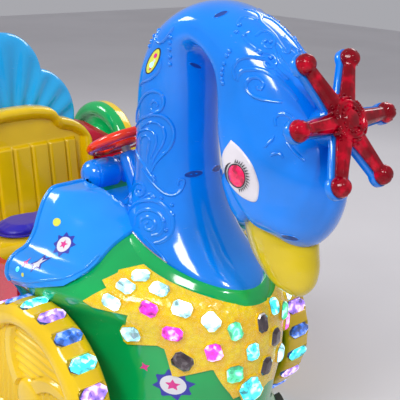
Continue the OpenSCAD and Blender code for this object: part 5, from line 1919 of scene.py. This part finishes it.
# --------------------------------------------------------------------------- prints
@dataclass(frozen=True)
class Prints:
    """Generic printed spots: dots, starbursts and small stars."""

    cowl: float = 6.0
    skirt: float = 0.0

    def patch(self, shape: Shape, outline: np.ndarray, at: Pair, grow: float, mark: int,
              lift: float) -> None:
        """Lay a flat outline on the body's near side.

        Args:
            shape: collects the patch.
            outline: flat points about the middle, mm forwards and mm up.
            at: the patch's middle, x and z, mm.
            grow: how far off the form the carrying surface is, mm.
            mark: the finish index.
            lift: how far above that surface the print lies, mm.
        """
        rings = []
        for k in (1.0, 0.75, 0.5, 0.25, 0.02):
            ring = []
            for u, v in outline * k:
                p, out = BODY.at(at[0] + u, at[1] + v, grow)
                ring.append(p + out * lift)
            rings.append(ring)
        shape.skin(np.array(rings) * MM, mark, (False, True))

    def star(self, tips: int, outer: float, inner: float, turn: float = 0.0, tall: float = 1.0) -> np.ndarray:
        """A star's outline."""
        out = []
        for k in range(tips * 2):
            r = outer if k % 2 == 0 else inner
            a = math.pi * k / tips + turn
            out.append((r * math.cos(a), r * math.sin(a) * tall))
        return resample(out, max(outer, 4) * 0.2, True)

    def disc(self, r: float, tall: float = 1.0) -> np.ndarray:
        """A disc's outline."""
        a = np.linspace(0, 2 * math.pi, 28, endpoint=False)
        return np.column_stack([r * np.cos(a), r * tall * np.sin(a)])

    def make(self) -> None:
        """Print the cowl's and the skirt's spots on both sides."""
        disc, star, cowl, skirt = self.disc, self.star, self.cowl, self.skirt
        white, yellow, blue, pink, cyan = range(1, 6)
        finishes = [Finish.INK, Finish.PAPER, Finish.PRINT_YELLOW, Finish.PRINT_BLUE, Finish.PRINT_PINK,
                    Finish.CYAN_LAMP]
        shape = Shape()
        for outline, at, grow, mark, lift in (
            (disc(11, 0.8), (34, 613), cowl, yellow, 0.35),
            (star(8, 31, 20, 0.2, 0.85), (76, 574), cowl, blue, 0.35),
            (disc(18, 0.85), (76, 574), cowl, white, 0.55),
            (star(5, 11, 5, 0.3, 0.85), (76, 574), cowl, pink, 0.75),
            (star(5, 20, 9, 0.9, 0.85), (52, 533), cowl, blue, 0.35),
            (star(5, 12, 5.5, 0.9, 0.85), (52, 533), cowl, white, 0.55),
            (star(4, 9, 3.5, 0.0), (20, 528), cowl, pink, 0.35),
            # This cyan spot is in lens glass and glows: painted glow on a print.
            (disc(5.5), (8, 512), cowl, cyan, 0.35),
            (disc(4.5), (30, 506), cowl, yellow, 0.35),
            (star(8, 40, 27, 0.2), (372, 318), skirt, blue, 0.35),
            (disc(24), (372, 318), skirt, white, 0.55),
            (star(5, 15, 7, 0.3), (372, 318), skirt, pink, 0.75),
            (star(4, 12, 5, 0.5), (318, 352), skirt, pink, 0.35),
        ):
            self.patch(shape, outline, at, grow, mark, lift)
        place(shape.mirrored().build("printed_spots", finishes, 40.0, outward=False), "blue_plastic")


# --------------------------------------------------------------------------- plain solids, stage, camera
NODE_FINISH: dict[str, Finish] = {
    "chassis": Finish.PAINTED, "battery": Finish.CASE, "drive_motor": Finish.STEEL, "rear_axle": Finish.STEEL,
    "front_axle": Finish.PAINTED, "knuckle_left": Finish.STEEL, "knuckle_right": Finish.STEEL, "tie_rod": Finish.STEEL,
    "tub": Finish.RED, "steering_column": Finish.STEEL, "crown_base": Finish.BLUE, "bumper_front": Finish.RUBBER,
    "bumper_rear": Finish.RUBBER, "pedal": Finish.PAINTED,
    **{f"hub_{end}_{side}": Finish.YELLOW for end in ("front", "rear") for side in ("left", "right")},
    **{f"tyre_{end}_{side}": Finish.TYRE for end in ("front", "rear") for side in ("left", "right")},
}


def dress_nodes() -> None:
    """Give every solid that stays in view its finish."""
    for name, finish in NODE_FINISH.items():
        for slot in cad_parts[name].material_slots:
            slot.material = finish.material


@dataclass(frozen=True)
class Stage:
    """Pale floor, soft lights and the photograph's camera."""

    sensor: float = 36.0

    def camera(self) -> None:
        """Set the camera up."""
        side, rise, back = VIEW.axes()
        data = bpy.data.cameras.new("camera")
        data.lens, data.sensor_width, data.sensor_fit = VIEW.focal / VIEW.width * self.sensor, self.sensor, "HORIZONTAL"
        data.clip_start = 0.05
        camera = linked("camera", data)
        camera.matrix_world = Matrix((
            (side[0], rise[0], back[0], VIEW.place[0]), (side[1], rise[1], back[1], VIEW.place[1]),
            (side[2], rise[2], back[2], VIEW.place[2]), (0, 0, 0, 1)))
        bpy.context.scene.camera = camera

    def light(self, name: str, at: Triple, size: float, watts: float, colour: Colour) -> None:
        """One soft square light that faces the car."""
        data = bpy.data.lights.new(name, "AREA")
        data.shape, data.size, data.energy, data.color = "SQUARE", size, watts, colour
        lamp = linked(name, data)
        lamp.location = at
        lamp.rotation_euler = (Vector((0.1, 0, 0.5)) - Vector(at)).to_track_quat("-Z", "Y").to_euler()

    def floor(self) -> None:
        """The pale floor."""
        shape = Shape().add([(-9, -9, 0), (9, -9, 0), (9, 9, 0), (-9, 9, 0)], [(0, 1, 2, 3)])
        s = Shader("pale_floor")
        tone = s.noise(0.8, 3.0).smooth(0.3, 0.7)
        s.surface({"Base Color": s.mix(tone, (0.66, 0.64, 0.66), (0.72, 0.70, 0.72)), "Roughness": 0.42})
        floor = shape.build("floor", [], outward=False)
        floor.data.materials.append(s.material)

    def make(self) -> None:
        """Build floor, sky, lights and camera."""
        self.floor()
        world = bpy.data.worlds.new("studio")
        world.use_nodes = True
        sky = world.node_tree.nodes["Background"].inputs
        sky[0].default_value, sky[1].default_value = (0.86, 0.86, 0.92, 1), 0.46
        bpy.context.scene.world = world
        bpy.context.scene.view_settings.view_transform = "Standard"
        self.light("key", (1.2, -3.0, 3.2), 1.2, 85, (1.0, 0.98, 0.96))
        self.light("left", (-2.4, -1.6, 2.6), 1.0, 40, (0.95, 0.97, 1.0))
        self.light("back", (-0.6, 3.0, 3.0), 1.6, 45, (1.0, 1.0, 1.0))
        self.light("small", (2.6, -0.6, 2.8), 0.3, 20, (1.0, 1.0, 1.0))
        self.camera()


def main() -> None:
    """Build the car's looks piece by piece."""
    logging.basicConfig(level=logging.INFO, format="%(message)s")
    Stage().make()
    dress_nodes()
    Bird().make()
    Crown().make()
    Breast().make()
    Stones().make()
    for side, word in ((1, "left"), (-1, "right")):
        WheelCover(FRONT, word, side).make()
        WheelCover(REAR, word, side).make()
    SideDisc().make()
    Seat().make()
    TailFan().make()
    SteeringWheel().make()
    RunningGear().make()
    Prints().make()


if __name__ == "__main__":
    main()
